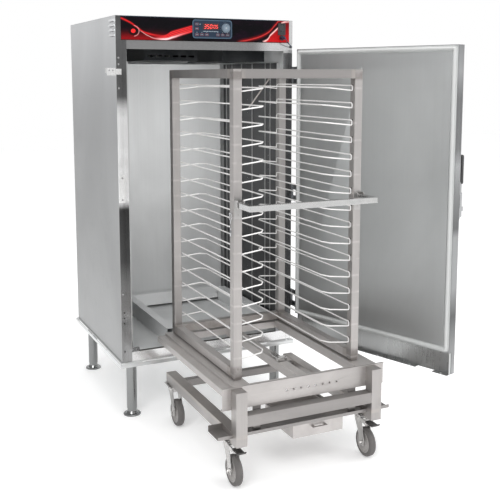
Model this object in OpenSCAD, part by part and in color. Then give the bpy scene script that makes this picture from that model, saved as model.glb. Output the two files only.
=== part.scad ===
// Roll-in holding and rethermalising cabinet with its open door, its wire
// slide rack and the caster dolly that carries the rack to the cabinet.
// Every module is drawn in a cabinet frame, X to the right along the front,
// Y into the cabinet and Z up, then moved so that the origin is below the
// middle of the whole object.

/* [Cabinet] */
// Width of the cabinet body
cab_w = 936; // [930:1:942]
// Depth of the cabinet body
cab_d = 884; // [880:1:900]
// Overall height
cab_h = 1980; // [1970:1:2000]
// Height of the underside of the base pan above the floor
base_z = 266; // [260:1:270]
// Wall thickness between the outer skin and the liner
wall_t = 50; // [46:1:52]
// Radius of each leg tube
leg_r = 26; // [22:1:30]

/* [Door] */
// Door opening angle from closed
door_open = 109.5; // [90:0.5:115]
// Door thickness without the gasket
door_t = 46; // [40:1:50]
// Top edge of the door above the floor
door_top = 1833; // [1825:1:1840]

/* [Rack] */
// Width of the rack over its posts
rack_w = 610; // [600:1:620]
// Depth of the rack over its posts
rack_d = 745; // [735:1:745]
// Number of slide levels
levels = 16; // [12:1:16]
// Distance between slide levels
pitch = 74.5; // [70:0.5:74.5]
// Side of the square post tube
post = 38; // [34:1:40]

/* [Dolly] */
// Height of the deck that the rack stands on
deck_z = 432; // [430:1:433]
// Radius of the caster wheels
wheel_r = 65; // [60:1:65]
// Tread width of the caster wheels
wheel_w = 32; // [28:1:32]
// Trail of the wheel axle behind the swivel axis
trail = 40; // [34:1:40]

/* [Hidden] */
$fn = 48;
origin_x = 648.645; // middle of the whole object, from the cabinet's left side
origin_y = -20.58; // middle of the whole object, from the cabinet's front
lip_h = 29;       // height of the base pan's rounded edge
lip_out = 12;     // how far it stands proud
sk = 1.5;         // sheet thickness
shell_z = base_z + lip_h;
floor_z = shell_z + 57;   // inside floor of the liner
win_x0 = wall_t;  // door opening
win_x1 = cab_w - wall_t;
win_z0 = floor_z - 8;
win_z1 = cab_h - 156;
fascia_z0 = cab_h - 114;
px = cab_w + 16;  // door hinge pin
py = -34;
d_x0 = 2;         // door edges, closed
d_x1 = px - 8;
d_out = -16 - door_t;
d_in = -16;
d_bot = 345;
d_pan = 447;
hinge_zs = [1700, 1090, 520];
latch_z = 1142;
rx0 = 245;        // rack corner
ry0 = -795;
rx1 = rx0 + rack_w;
ry1 = ry0 + rack_d;
rz0 = deck_z + 8;
rz1 = rz0 + 1285;
lev0 = rz1 - 80 - (levels - 1) * pitch;
slide_w = 126;
hz = 1178;        // push handle pivot
cast_x = [225, 875];
cast_y = [-800, -125];
tube_z = 195;     // underside of the dolly's lower tubes
duct_x = cab_w - 68;

// ---- helpers ---------------------------------------------------------
module box(a, b) { translate(a) cube(b - a); }
module place() { translate([-origin_x, -origin_y, 0]) children(); }
// a door part drawn closed, then swung open about the hinge pin
module open_door() { place() translate([px, py, 0]) rotate(door_open) translate([-px, -py, 0]) children(); }
// square tube of side a and wall t along X, Y or Z, from corner p, length l
module tube(p, l, a, b, t, axis) {
    translate(p) difference() {
        cube(axis == 0 ? [l, a, b] : axis == 1 ? [a, l, b] : [a, b, l]);
        translate(axis == 0 ? [-1, t, t] : axis == 1 ? [t, -1, t] : [t, t, -1])
            cube(axis == 0 ? [l + 2, a - 2 * t, b - 2 * t] : axis == 1 ? [a - 2 * t, l + 2, b - 2 * t] : [a - 2 * t, b - 2 * t, l + 2]);
    }
}
// rounded rectangle outline
function rrect(x0, y0, x1, y1, r, n = 5) = [
    for (c = [[x1 - r, y1 - r, 0], [x0 + r, y1 - r, 90], [x0 + r, y0 + r, 180], [x1 - r, y0 + r, 270]])
        for (i = [0:n]) [c[0] + r * cos(c[2] + 90 * i / n), c[1] + r * sin(c[2] + 90 * i / n)]];
// plate in the XZ plane from y0 to y1
module xz_plate(pts, y0, y1) { translate([0, y1, 0]) rotate([90, 0, 0]) linear_extrude(y1 - y0) polygon(pts); }
// plate in the YZ plane from x0 to x1; points are (y, z)
module yz_plate(pts, x0, x1) { translate([x0, 0, 0]) rotate([90, 0, 90]) linear_extrude(x1 - x0) polygon(pts); }
module ycyl(r, y0, y1) { translate([0, y1, 0]) rotate([90, 0, 0]) cylinder(r = r, h = y1 - y0); }
module xcyl(r, x0, x1) { translate([x0, 0, 0]) rotate([0, 90, 0]) cylinder(r = r, h = x1 - x0); }

// ---- cabinet ---------------------------------------------------------
louvre_zs = [1956, 1933, 1910, 1887];
module side_skin() {
    difference() {
        union() {
            box([0, 3.2, shell_z], [2, cab_d - 2, cab_h - 2]);
            for (z = louvre_zs)
                translate([0, 18, z]) rotate([-90, 0, 0])
                    linear_extrude(88) polygon([[0, -9], [-7, 2], [-7, 4], [0, 4]]);
        }
        for (z = louvre_zs) translate([0, 21, z]) rotate([-90, 0, 0])
            linear_extrude(82) polygon([[3, -5.5], [-0.5, -5.5], [-5.6, 2.2], [-5.6, 5], [3, 5]]);
    }
}
module cabinet_left_side() { color("gainsboro") place() side_skin(); }
module cabinet_right_side() { color("gainsboro") place() translate([cab_w, 0, 0]) mirror([1, 0, 0]) side_skin(); }
module cabinet_back() {
    color("lightgray") place() difference() {
        union() {
            box([0, cab_d - 2, shell_z], [cab_w, cab_d, cab_h - 2]);
            xz_plate(rrect(190, 700, 746, 1560, 12), cab_d, cab_d + 6);
            xz_plate(rrect(250, 1720, 686, 1900, 10), cab_d, cab_d + 6);
        }
        for (i = [0:8]) xz_plate(rrect(290, 1742 + i * 17, 646, 1749 + i * 17, 3, 3), cab_d - 3, cab_d + 7);
    }
}
module cabinet_top() {
    color("lightgray") place() difference() {
        box([0, 0, cab_h - 2], [cab_w, cab_d, cab_h]);
        for (i = [0:5]) box([340 + i * 45, 560, cab_h - 3], [350 + i * 45, 760, cab_h + 1]);
    }
}
module cabinet_base() {
    color("gainsboro") place() difference() {
        intersection() {
            yz_plate(rrect(-lip_out, base_z, cab_d + lip_out, shell_z, 10), -lip_out, cab_w + lip_out);
            xz_plate(rrect(-lip_out, base_z, cab_w + lip_out, shell_z, 10), -lip_out, cab_d + lip_out);
        }
        difference() {
            box([2 - lip_out, 2 - lip_out, base_z - 1], [cab_w + lip_out - 2, cab_d + lip_out - 2, shell_z - 2]);
            for (x = [65, cab_w - 65]) for (y = [65, cab_d - 65])
                box([x - 45, y - 45, base_z], [x + 45, y + 45, shell_z]);
            box([2, 300, base_z + 4], [cab_w - 2, 304, shell_z]);
            box([2, 580, base_z + 4], [cab_w - 2, 584, shell_z]);
        }
    }
}
module insulation() {
    color("khaki") place() difference() {
        box([2.3, 32, shell_z + 0.3], [cab_w - 2.3, cab_d - 2.3, 1862]);
        box([wall_t - 0.3, 0, floor_z - 1.8], [cab_w - wall_t + 0.3, cab_d - 64.7, 1850.3]);
        translate([315, 350, 1840]) cylinder(r = 72, h = 30);
    }
}
module inner_liner() {
    color("silver") place() difference() {
        box([wall_t, 3.3, floor_z - sk], [cab_w - wall_t, cab_d - 65, 1850]);
        box([wall_t + sk, 0, floor_z], [cab_w - wall_t - sk, cab_d - 65 - sk, 1850 - sk]);
        translate([315, 350, 1840]) cylinder(r = 9, h = 20);
    }
}
module face_frame() {
    color("slategray") place() difference() {
        union() {
            box([0, 0, shell_z], [wall_t, 3, fascia_z0 - 0.4]);
            box([cab_w - wall_t, 0, shell_z], [cab_w, 3, fascia_z0 - 0.4]);
            box([wall_t - 1, 0, win_z1], [cab_w - wall_t + 1, 3, fascia_z0 - 0.4]);
            box([wall_t - 1, 0, shell_z], [cab_w - wall_t + 1, 3, win_z0]);
            // jamb returns beside the liner
            box([wall_t - 3, 2, shell_z + 2], [wall_t - 0.3, 30, fascia_z0 - 0.4]);
            box([cab_w - wall_t + 0.3, 2, shell_z + 2], [cab_w - wall_t + 3, 30, fascia_z0 - 0.4]);
            // end posts beside the fascia
            box([0, -2, fascia_z0 - 2], [24.7, 3, cab_h - 2.2]);
            box([cab_w - 21.7, -2, fascia_z0 - 2], [cab_w, 3, cab_h - 2.2]);
            // rounded lugs at the foot of the opening
            xz_plate(rrect(wall_t + 6, win_z0 - 2, wall_t + 40, win_z0 + 24, 8), 0, 3);
            xz_plate(rrect(cab_w - wall_t - 40, win_z0 - 2, cab_w - wall_t - 6, win_z0 + 24, 8), 0, 3);
        }
        box([29.5, -1, shell_z + 5], [30.5, 1, fascia_z0 - 6]);
        box([cab_w - 30.5, -1, shell_z + 5], [cab_w - 29.5, 1, fascia_z0 - 6]);
        // adjustment holes low on the left stile
        for (z = [548, 521, 494, 350]) translate([15, 0, z]) ycyl(3.5, -1, 5);
        for (x = [wall_t + 23, cab_w - wall_t - 23]) translate([x, 0, win_z0 + 11]) ycyl(4, -1, 5);
    }
}
module fascia_panel() {
    color("black") place() difference() {
        union() {
            box([25, -6, fascia_z0 + 2], [cab_w - 22, 0, cab_h - 5]);
            box([25, -7.5, cab_h - 5], [cab_w - 22, 0, cab_h - 2.2]);
        }
        xz_plate(rrect(389, 1887, 585, 1963, 8), -10, 2);
        xz_plate(rrect(849.7, 1903.7, 892.3, 1964.3, 3), -10, 2);
    }
}
module controller_housing() {
    color("slateblue") place() difference() {
        union() {
            xz_plate(rrect(382, 1880, 592, 1970, 14), -10, -6.2);
            xz_plate(rrect(390, 1888, 584, 1962, 7), -10, 30);
        }
        // raised rim round the overlay
        xz_plate(rrect(387, 1885, 587, 1965, 10), -11, -9);
        xz_plate(rrect(435.7, 1921.7, 522.3, 1953.3, 3), -12, -4);
        translate([556, 0, 1931]) ycyl(4.05, -12, -2);
    }
}
module display_window() { color("darkred") place() xz_plate(rrect(436, 1922, 522, 1953, 3), -9.6, -4); }
module selector_dial() {
    color("lightsteelblue") place() translate([556, 0, 1931]) difference() {
        union() {
            ycyl(22, -20, -9.3);
            ycyl(15, -22, -19);
            ycyl(4, -10, -2.5);
        }
        translate([0, -21, 16]) box([-1.5, -3, -6], [1.5, 4, 4]);
    }
}
module fascia_fittings() {
    color("dimgray") place() {
        difference() {
            xz_plate(rrect(850, 1904, 892, 1964, 3), -9, 0);
            box([858, -10, 1924], [884, 1, 1958]);
            translate([0, -5.5, 1941]) xcyl(2.05, 854, 888);
        }
        translate([871, 0, 1890]) difference() { ycyl(13, -11, -6.2); ycyl(5.4, -12, -3); }
        translate([926, 0, 1846]) ycyl(6, -6, -0.2);
    }
}
// rocker with a pivot pin that runs in its own cradle
module power_rocker() {
    color("black") place() translate([871, -5.5, 1941]) { xcyl(2, -16.5, 16.5); yz_plate([[-1, -15.5], [-6.5, -15.5], [-3.5, 0], [-1.5, 15.5], [2, 15.5], [2.6, 0], [2, -15.5]], -12.4, 12.4); }
}
module probe_plug() {
    color("dimgray") place() translate([871, 0, 1890]) {
        ycyl(5, -12, -6.5);
        ycyl(9, -34, -11.3);
    }
}
// the probe's lead, held between its plug and the grommet on the right stile
lead = [[871, -34, 1890], [871, -40, 1889], [873, -45, 1884], [878, -47, 1876], [886, -45, 1867],
    [896, -40, 1859], [906, -33, 1853], [915, -25, 1849], [921, -16, 1847], [925, -10, 1846], [926, -6, 1846]];
function lead_at(t) = let(n = len(lead) - 1, i = min(floor(t * n), n - 1), f = t * n - i,
    a = lead[max(i - 1, 0)], b = lead[i], c = lead[i + 1], d = lead[min(i + 2, n)])
    0.5 * (2 * b + (c - a) * f + (2 * a - 5 * b + 4 * c - d) * f * f + (3 * b - 3 * c + d - a) * f * f * f);
function unit(v) = v / norm(v);
lead_n = 26;
function lead_ring(i) = let(t = i / lead_n, p = lead_at(t),
    d = i == 0 ? [0, -1, 0] : i == lead_n ? [0, 1, 0] : unit(lead_at(min(t + 0.01, 1)) - lead_at(max(t - 0.01, 0))),
    u = unit(cross(d, [0.3, 0.1, 1])), v = cross(d, u))
    [for (k = [0:7]) p + 2.5 * (u * cos(45 * k) + v * sin(45 * k))];
module probe_lead() {
    pts = [for (i = [0:lead_n]) each lead_ring(i)];
    color("black") place() polyhedron(pts, concat(
        [[for (k = [0:7]) k]],
        [for (i = [0:lead_n - 1]) for (k = [0:7]) [8 * i + k, 8 * (i + 1) + k, 8 * (i + 1) + (k + 1) % 8, 8 * i + (k + 1) % 8]],
        [[for (k = [7:-1:0]) 8 * lead_n + k]]), convexity = 6);
}
module strike_and_keeper() {
    color("white") place() {
        xz_plate(rrect(3, 1092, 32, 1226, 4), -1.2, 0);
        box([-45, 4, 1700], [0, 6, 1735]);
        box([-45, 5, 1733], [0, 34, 1735]);
        box([-45, 4, 1712], [-43, 34, 1735]);
        box([-2, -1.2, 1704], [0, 6, 1731]);
        box([-2, -1.2, 1704], [24, 0, 1731]);
    }
}
module legs() {
    color("silver") place() for (x = [65, cab_w - 65]) for (y = [65, cab_d - 65]) translate([x, y, 34])
        difference() {
            union() { cylinder(r = leg_r, h = base_z - 34.2); translate([0, 0, base_z - 42]) cylinder(r = 36, h = 7.8); }
            translate([0, 0, -1]) cylinder(r = leg_r - 3.5, h = base_z - 60);
        }
    // adjustable flange feet, screwed into the tubes
    color("darkgray") place() for (x = [65, cab_w - 65]) for (y = [65, cab_d - 65]) translate([x, y, 0])
        rotate_extrude() polygon([[0, 0], [44, 0], [44, 5], [40, 8], [30, 9], [24, 20], [24, 33.8], [leg_r - 3.6, 33.8], [leg_r - 3.6, 74], [0, 74]]);
}
module rear_baffle() {
    color("gainsboro") place() {
        box([70, 752, 425], [852, 754, 1766]);
        box([70, 744, 425], [852, 754, 427]);
        box([70, 744, 425], [852, 745.5, 436]);
        // sloping toe, held off the floor for the return air
        yz_plate([[744, 425], [745.5, 425], [716, floor_z + 12], [714, floor_z + 12]], 70, 852);
        for (x = [70, 832]) for (z = [460, 1100, 1730]) box([x, 754, z], [x + 20, 817, z + 20]);
    }
}
duct_ys = [140, 400, 640];
module duct_side() {
    difference() {
        union() {
            box([duct_x, 40, floor_z + 4], [duct_x + 2, 735, 1765]);
            for (y = [40, 733]) box([duct_x + 1, y, floor_z + 4], [cab_w - 51.8, y + 2, 1765]);
            // stiffening ribs
            for (y = [108, 168, 330, 470, 600, 680]) box([duct_x - 3, y, floor_z + 4], [duct_x + 1, y + 8, 1765]);
        }
        for (y = duct_ys) for (i = [0:18]) translate([0, y, 400 + i * 73]) xcyl(4, duct_x - 5, duct_x + 5);
    }
}
module side_ducts() {
    color("dimgray") place() { duct_side(); translate([cab_w, 0, 0]) mirror([1, 0, 0]) duct_side(); }
}
module blower_housing() {
    color("darkslategray") place() {
        difference() {
            box([175, 110, 1772], [455, 600, 1848]);
            box([177, 112, 1774], [453, 598, 1849]);
            translate([315, 350, 1770]) cylinder(r = 92, h = 10);
            for (i = [0:5]) box([196 + i * 42, 100, 1790], [226 + i * 42, 120, 1800]);
        }
        difference() {
            box([590, 110, 1772], [830, 600, 1848]);
            box([592, 112, 1774], [828, 598, 1849]);
            for (i = [0:9]) box([620, 150 + i * 42, 1770], [800, 170 + i * 42, 1780]);
        }
        // fixing flanges to the liner roof
        for (x = [160, 455.3]) box([x, 200, 1845], [x + 14.7, 500, 1848]);
        for (x = [575, 830.3]) box([x, 200, 1845], [x + 14.7, 500, 1848]);
    }
}
module blower_motor() {
    color("gray") place() translate([315, 350, 0]) {
        translate([0, 0, 1863]) cylinder(r = 52, h = 84);
        translate([0, 0, 1790]) cylinder(r = 4, h = 75);
        translate([0, 0, 1850.3]) cylinder(r = 70, h = 12.8);
    }
}
module blower_wheel() {
    color("silver") place() translate([315, 350, 0]) difference() {
        union() {
            translate([0, 0, 1826]) cylinder(r = 78, h = 3);
            translate([0, 0, 1792]) difference() { cylinder(r = 78, h = 3); translate([0, 0, -1]) cylinder(r = 60, h = 5); }
            for (i = [0:17]) rotate(i * 20) translate([64, -1, 1793]) rotate(12) cube([12, 2, 35]);
            translate([0, 0, 1800]) cylinder(r = 14, h = 29);
        }
        translate([0, 0, 1785]) cylinder(r = 4.06, h = 60);
    }
}
module heater_element() {
    color("saddlebrown") place() translate([0, 0, 1812]) {
        for (i = [0:4]) translate([640 + i * 35, 160, 0]) rotate([-90, 0, 0]) cylinder(r = 4, h = 380);
        for (i = [0:3]) translate([657.5 + i * 35, i % 2 == 0 ? 540 : 160, 0]) rotate([0, 0, i % 2 == 0 ? 0 : 180])
            rotate_extrude(angle = 180) translate([17.5, 0]) circle(r = 4);
        for (x = [640, 780]) translate([x, x < 700 ? 160 : 540, 0]) cylinder(r = 4, h = 35.8);
    }
}
module floor_rails() {
    color("silver") place() for (x = [rx0 - 2, rx1 - post - 2]) {
        difference() {
            box([x, 24, floor_z + 0.2], [x + post + 4, 706, deck_z - 0.3]);
            box([x + 2, 20, floor_z + 2.2], [x + post + 2, 710, deck_z - 2.3]);
        }
    }
}
module frame_hinge_leaves() {
    color("silver") place() for (z = hinge_zs) translate([px, py, z]) difference() {
        union() {
            for (s = [-45.3, 15.5]) {
                translate([0, 0, s]) cylinder(r = 7.5, h = 29.8);
                box([-6, 0, s], [0, 44, s + 29.8]);
            }
            translate([0, 0, -50]) cylinder(r = 4, h = 100);
            translate([0, 0, 45]) cylinder(r = 6.5, h = 6);
            box([-16 + 0.2, 40, -45.3], [0, 84, 45.3]);
        }
        for (h = [-28, 28]) translate([0, 66, h]) xcyl(3.5, -4, 1);
    }
}
screws = [[11, 1752], [11, 1782], [17.5, 1106], [17.5, 1212], [11, 1640], [11, 640], [cab_w - 12, 1640], [cab_w - 12, 640]];
module fasteners() {
    color("dimgray") place() {
        for (s = screws) translate([s[0], 0, s[1]]) ycyl(4.5, -1.5, s[0] == 17.5 ? -1.2 : 0);
        for (x = [-33, -16]) translate([x, 0, 1724]) ycyl(4, 2, 4);
        for (x = [210, 726]) for (z = [720, 1130, 1540]) translate([x, 0, z]) ycyl(5, cab_d + 6, cab_d + 8.5);
        for (x = [262, 674]) for (z = [1732, 1888]) translate([x, 0, z]) ycyl(4, cab_d + 6, cab_d + 8.5);
    }
}

// ---- door ------------------------------------------------------------
module door_outer_skin() {
    color("lightgray") open_door() {
        difference() {
            box([d_x0, d_out, d_bot], [d_x1, d_in - 0.3, door_top]);
            box([d_x0 + sk, d_out + sk, d_bot - 1], [d_x1 - sk, d_in + 1, door_top - sk]);
            // the edge folds end above the skirt
            box([d_x0 - 1, -36, d_bot - 1], [d_x1 + 1, d_in + 1, d_pan]);
        }
    }
}
module door_core() { color("khaki") open_door() box([d_x0 + 1.8, d_out + 1.8, d_pan + 2], [d_x1 - 1.8, d_in - 2.4, door_top - 1.8]); }
module door_inner_panel() {
    color("gray") open_door() difference() {
        union() {
            box([d_x0 + 1.8, d_in - 2, d_pan], [d_x1 - 1.8, d_in - 0.5, door_top - 1.8]);
            box([d_x0 + 31, d_in - 1, d_pan + 30], [d_x1 - 31, d_in + 3, door_top - 31]);
        }
        // pressed vertical seam
        box([518, d_in + 1.6, d_pan + 62], [524, d_in + 4, door_top - 90]);
    }
}
module door_gasket() {
    color("whitesmoke") open_door() difference() {
        xz_plate(rrect(d_x0 + 4, d_pan + 4, d_x1 - 4, door_top - 4, 8), d_in - 0.3, -1.9);
        xz_plate(rrect(d_x0 + 28, d_pan + 28, d_x1 - 28, door_top - 28, 6), d_in - 2, 0);
    }
}
module door_skirt() {
    color("silver") open_door() difference() {
        union() {
            box([d_x0 + 1.8, -40, d_bot], [d_x1 - 1.8, -38.2, d_pan - 0.3]);
            box([d_x0 + 1.8, -40, d_bot], [d_x1 - 1.8, -6, d_bot + 2]);
            box([d_x0 + 1.8, d_out + 1.8, d_pan - 3], [d_x1 - 1.8, -39, d_pan - 0.3]);
            box([d_x0 + 1.8, -40, d_bot], [d_x0 + 3.6, -20, d_pan - 0.3]);
        }
        box([86, -34, d_bot - 1], [176, 0, d_bot + 3]);
        for (x = [44, 214, 400, 600, 800]) translate([x, -18, d_bot - 1]) cylinder(r = 4.5, h = 4);
    }
}
module door_hinge_leaves() {
    color("silver") open_door() for (z = hinge_zs) translate([px, py, z]) difference() {
        union() {
            translate([0, 0, -15]) cylinder(r = 7.5, h = 30);
            box([-7.7, -6, -15], [0, 6, 15]);
            box([-7.7, -26, -15], [-4.7, 16, 15]);
        }
        translate([0, 0, -16]) cylinder(r = 4.05, h = 32);
    }
}
module latch_body() {
    color("silver") open_door() {
        difference() {
            union() {
                xz_plate(rrect(6, 1052, 60, 1233, 10), d_out - 12, d_out);
                xz_plate(rrect(12, 1062, 54, 1180, 8), d_out - 36, d_out - 11);
                for (x = [14, 42.5]) box([x, d_out - 50, latch_z - 50], [x + 7.5, d_out - 30, latch_z - 30]);
            }
            box([21.8, d_out - 60, 1060], [42.2, d_out - 28, 1184]);
        }
        translate([0, d_out - 42, latch_z - 40]) xcyl(4, 15, 49);
        // bolt nose that meets the strike
        box([2, d_out - 8, 1110], [6, d_out - 2, 1170]);
    }
}
module latch_paddle() {
    color("silver") open_door() difference() {
        union() {
            translate([0, d_out - 42, latch_z - 40]) xcyl(8, 22.1, 41.9);
            box([24, d_out - 50, latch_z - 50], [40, d_out - 42, latch_z + 96]);
            box([24, d_out - 46, latch_z - 44], [40, d_out - 34, latch_z - 30]);
        }
        translate([0, d_out - 42, latch_z - 40]) xcyl(4.05, 20, 44);
    }
}
module latch_grip() {
    color("black") open_door() difference() {
        xz_plate(rrect(20, latch_z + 70, 44, latch_z + 204, 9), d_out - 56, d_out - 38);
        box([23.9, d_out - 50.1, latch_z + 60], [40.1, d_out - 41.9, latch_z + 96.1]);
    }
}

// ---- rack ------------------------------------------------------------
module rack_posts() {
    color("silver") place() for (x = [rx0, rx1 - post]) for (y = [ry0, ry1 - post]) {
        tube([x, y, rz0], rz1 - rz0, post, post, 2, 2);
        box([x + 2, y + 2, rz1 - 2], [x + post - 2, y + post - 2, rz1]);
        box([x + 3, y + 3, deck_z + 0.4], [x + post - 3, y + post - 3, rz0 + 4]);
    }
}
module rack_top_frame() {
    color("silver") place() {
        for (y = [ry0, ry1 - post]) tube([rx0 + post + 0.1, y, rz1 - post], rack_w - 2 * post - 0.2, post, post, 2, 0);
        for (x = [rx0, rx1 - post]) tube([x, ry0 + post + 0.1, rz1 - post], rack_d - 2 * post - 0.2, post, post, 2, 1);
        // diagonal tie rod under the rear right corner
        translate([rx1 - 90, ry1 - 30, rz1 - post - 1]) rotate([0, 38, 0]) translate([0, 0, -190]) cylinder(r = 4, h = 187.8);
    }
}
module rack_base_frame() {
    color("silver") place() {
        tube([rx0 + post + 0.1, ry1 - post, rz0], rack_w - 2 * post - 0.2, post, post, 2, 0);
        for (x = [rx0, rx1 - post]) tube([x, ry0 + post + 0.1, rz0], rack_d - 2 * post - 0.2, post, post, 2, 1);
    }
}
// one level is a closed flat loop of square bar
module slide_side() {
    for (i = [0:levels - 1]) translate([0, 0, lev0 + i * pitch]) linear_extrude(6) difference() {
        polygon([[rx0 + post + 0.1, ry0 + 6], [rx0 + post + 0.1, ry1 - 6], [rx0 + post + slide_w - 20, ry1 - 6],
            [rx0 + post + slide_w, ry1 - 46], [rx0 + post + slide_w, ry0 + 46], [rx0 + post + slide_w - 20, ry0 + 6]]);
        polygon([[rx0 + post + 6.1, ry0 + 12], [rx0 + post + 6.1, ry1 - 12], [rx0 + post + slide_w - 23, ry1 - 12],
            [rx0 + post + slide_w - 6, ry1 - 48], [rx0 + post + slide_w - 6, ry0 + 48], [rx0 + post + slide_w - 23, ry0 + 12]]);
    }
}
module wire_slides_left() { color("white") place() slide_side(); }
module wire_slides_right() { color("white") place() translate([rx0 + rx1, 0, 0]) mirror([1, 0, 0]) slide_side(); }
module handle_brackets() {
    color("gray") place() for (x = [rx0 + 6, rx1 - 32]) translate([x, ry0, hz]) {
        difference() {
            union() {
                box([-4, -2, -60], [30, 0, 26]);
                for (s = [-4, 26.5]) yz_plate(rrect(-32, -20, -1, 20, 10), s, s + 3.5);
            }
            translate([13, 0, -44]) ycyl(3.5, -5, 3);
        }
        translate([0, -18, 0]) xcyl(5, -4, 30);
    }
}
module push_handle() {
    color("silver") place() {
        for (x = [rx0 + 6, rx1 - 32]) difference() {
            box([x + 0.5, ry0 - 118, hz - 12], [x + 25.5, ry0 - 8, hz + 12]);
            translate([x, ry0 - 18, hz]) xcyl(5.05, -2, 30);
        }
        tube([rx0 + 6.5, ry0 - 141, hz - 12], rack_w - 13, 24, 24, 2, 0);
        for (x = [rx0 + 6.5, rx1 - 8.5]) box([x, ry0 - 140, hz - 11], [x + 2, ry0 - 118, hz + 11]);
    }
}

// ---- dolly -----------------------------------------------------------
module deck_frame() {
    color("lightgray") place() {
        for (m = [0, 1]) translate([m * (rx0 + rx1), 0, 0]) mirror([m, 0, 0]) difference() {
            union() {
                box([172, -864, deck_z - 40], [292, -35, deck_z - 12]);
                box([212, -864, deck_z - 20], [292, -35, deck_z]);
            }
            box([174, -870, deck_z - 38], [290, -30, deck_z - 14.5]);
            box([214, -870, deck_z - 20], [290, -30, deck_z - 2]);
        }
        difference() {
            union() {
                box([290, -75, deck_z - 40], [rx0 + rx1 - 290, -35, deck_z - 6]);
                box([527, -864, deck_z - 46], [573, -74, deck_z - 6]);
                box([290, -864, deck_z - 40], [rx0 + rx1 - 290, -830, deck_z - 6]);
            }
            box([280, -73, deck_z - 38], [rx0 + rx1 - 280, -37, deck_z - 8]);
            box([529, -870, deck_z - 44], [571, -78, deck_z - 8]);
            box([280, -862, deck_z - 38], [rx0 + rx1 - 280, -832, deck_z - 8]);
        }
    }
}
module dolly_front_panel() {
    color("gainsboro") place() difference() {
        union() {
            box([160, -868, deck_z - 92], [940, -864.2, deck_z]);
            box([160, -868, deck_z - 92], [940, -850, deck_z - 89]);
            box([160, -872, deck_z - 2], [940, -864.2, deck_z + 3]);
        }
        for (i = [0:7]) translate([455 + i * 35, 0, deck_z - 48]) ycyl(4, -870, -860);
    }
}
module dolly_uprights() {
    color("lightgray") place() {
        for (x = [cast_x[0] - 25, cast_x[1] - 25]) {
            tube([x, -918.3, tube_z], deck_z - 6 - tube_z, 50, 50, 3, 2);
            box([x + 3, -915.3, deck_z - 10], [x + 47, -871.3, deck_z - 7]);
            tube([x, -868.1, tube_z], 790, 50, 50, 3, 1);
            box([x + 3, -80.1, tube_z + 3], [x + 47, -78.1, tube_z + 47]);
        }
    }
}
module dolly_cross_members() {
    color("silver") place() {
        // shallow lipped channel, open upwards, whose ends stand out past the uprights
        for (x = [[134, 199.7], [250.3, rx0 + rx1 - 250.3], [rx0 + rx1 - 199.7, rx0 + rx1 - 134]])
            yz_plate([[-883, 225], [-776, 225], [-776, 251], [-779, 251], [-779, 228], [-880, 228], [-880, 239], [-883, 239]], x[0], x[1]);
        // square tube set flush between the uprights
        tube([cast_x[0] + 25.3, -916, 276], cast_x[1] - cast_x[0] - 50.6, 47.5, 48, 2.5, 0);
        // drip pan runners
        for (x = [492, 756]) {
            box([x, -860, 214], [x + 3, -560, 224.8]);
            box([x == 492 ? x : x - 7.6, -860, 214], [x == 492 ? x + 7.6 : x + 3, -560, 216]);
            box([x == 492 ? x - 6 : x, -860, 222.5], [x == 492 ? x + 3 : x + 9, -560, 224.8]);
        }
        box([480, -575, 224.8], [771, -560, 228]);
        // low tie between the side tubes
        tube([cast_x[0] + 25.2, -200, tube_z + 6], cast_x[1] - cast_x[0] - 50.4, 34, 34, 2.5, 0);
        // lugs that carry the deck
        for (x = [300, 764]) box([x, -864, 228.2], [x + 36, -858.2, deck_z - 92.3]);
    }
}
module deck_latch() {
    color("gray") place() translate([550, -640, deck_z - 6]) difference() {
        union() {
            yz_plate([[-8, 3], [-8, 18], [4, 24], [12, 12], [70, 10], [96, 14], [96, 11], [70, 4], [16, 2.5]], -14, 14);
            translate([0, 0, 10]) xcyl(7, -18, 18);
        }
        translate([0, 0, 10]) xcyl(3.05, -30, 30);
    }
}
module drip_pan() {
    color("gainsboro") place() {
        difference() {
            box([500, -846, 150], [748, -576, 211]);
            box([501.8, -844.2, 151.8], [746.2, -577.8, 220]);
        }
        for (x = [496, 746.2]) box([x, -846, 216.4], [x + 5.8, -576, 218.4]);
        for (x = [500, 746.2]) box([x, -846, 210], [x + 1.8, -576, 218.4]);
        difference() { box([590, -868, 190], [660, -846, 194]); box([602, -858, 184], [648, -846.1, 198]); }
    }
}
module caster_mounts() {
    color("gray") place() {
        for (x = cast_x) for (y = cast_y) translate([x, y, 0]) {
            difference() {
                box([-36, -50, tube_z - 4.3], [36, 50, tube_z - 0.3]);
                for (a = [-26, 26]) for (b = [-38, 38]) translate([a, b, tube_z - 6]) cylinder(r = 4, h = 8);
            }
            translate([0, 0, tube_z - 16]) cylinder(r = 30, h = 12);
            translate([0, 0, tube_z - 34]) cylinder(r = 8, h = 20);
            translate([0, 0, tube_z - 36]) cylinder(r = 12, h = 5);
        }
        // pivot ears of the deck latch
        translate([550, -640, deck_z - 6]) {
            for (s = [-23, 19]) yz_plate(rrect(-8, 0.2, 8, 18, 5), s, s + 4);
            translate([0, 0, 10]) xcyl(3, -23, 23);
        }
    }
}
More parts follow.
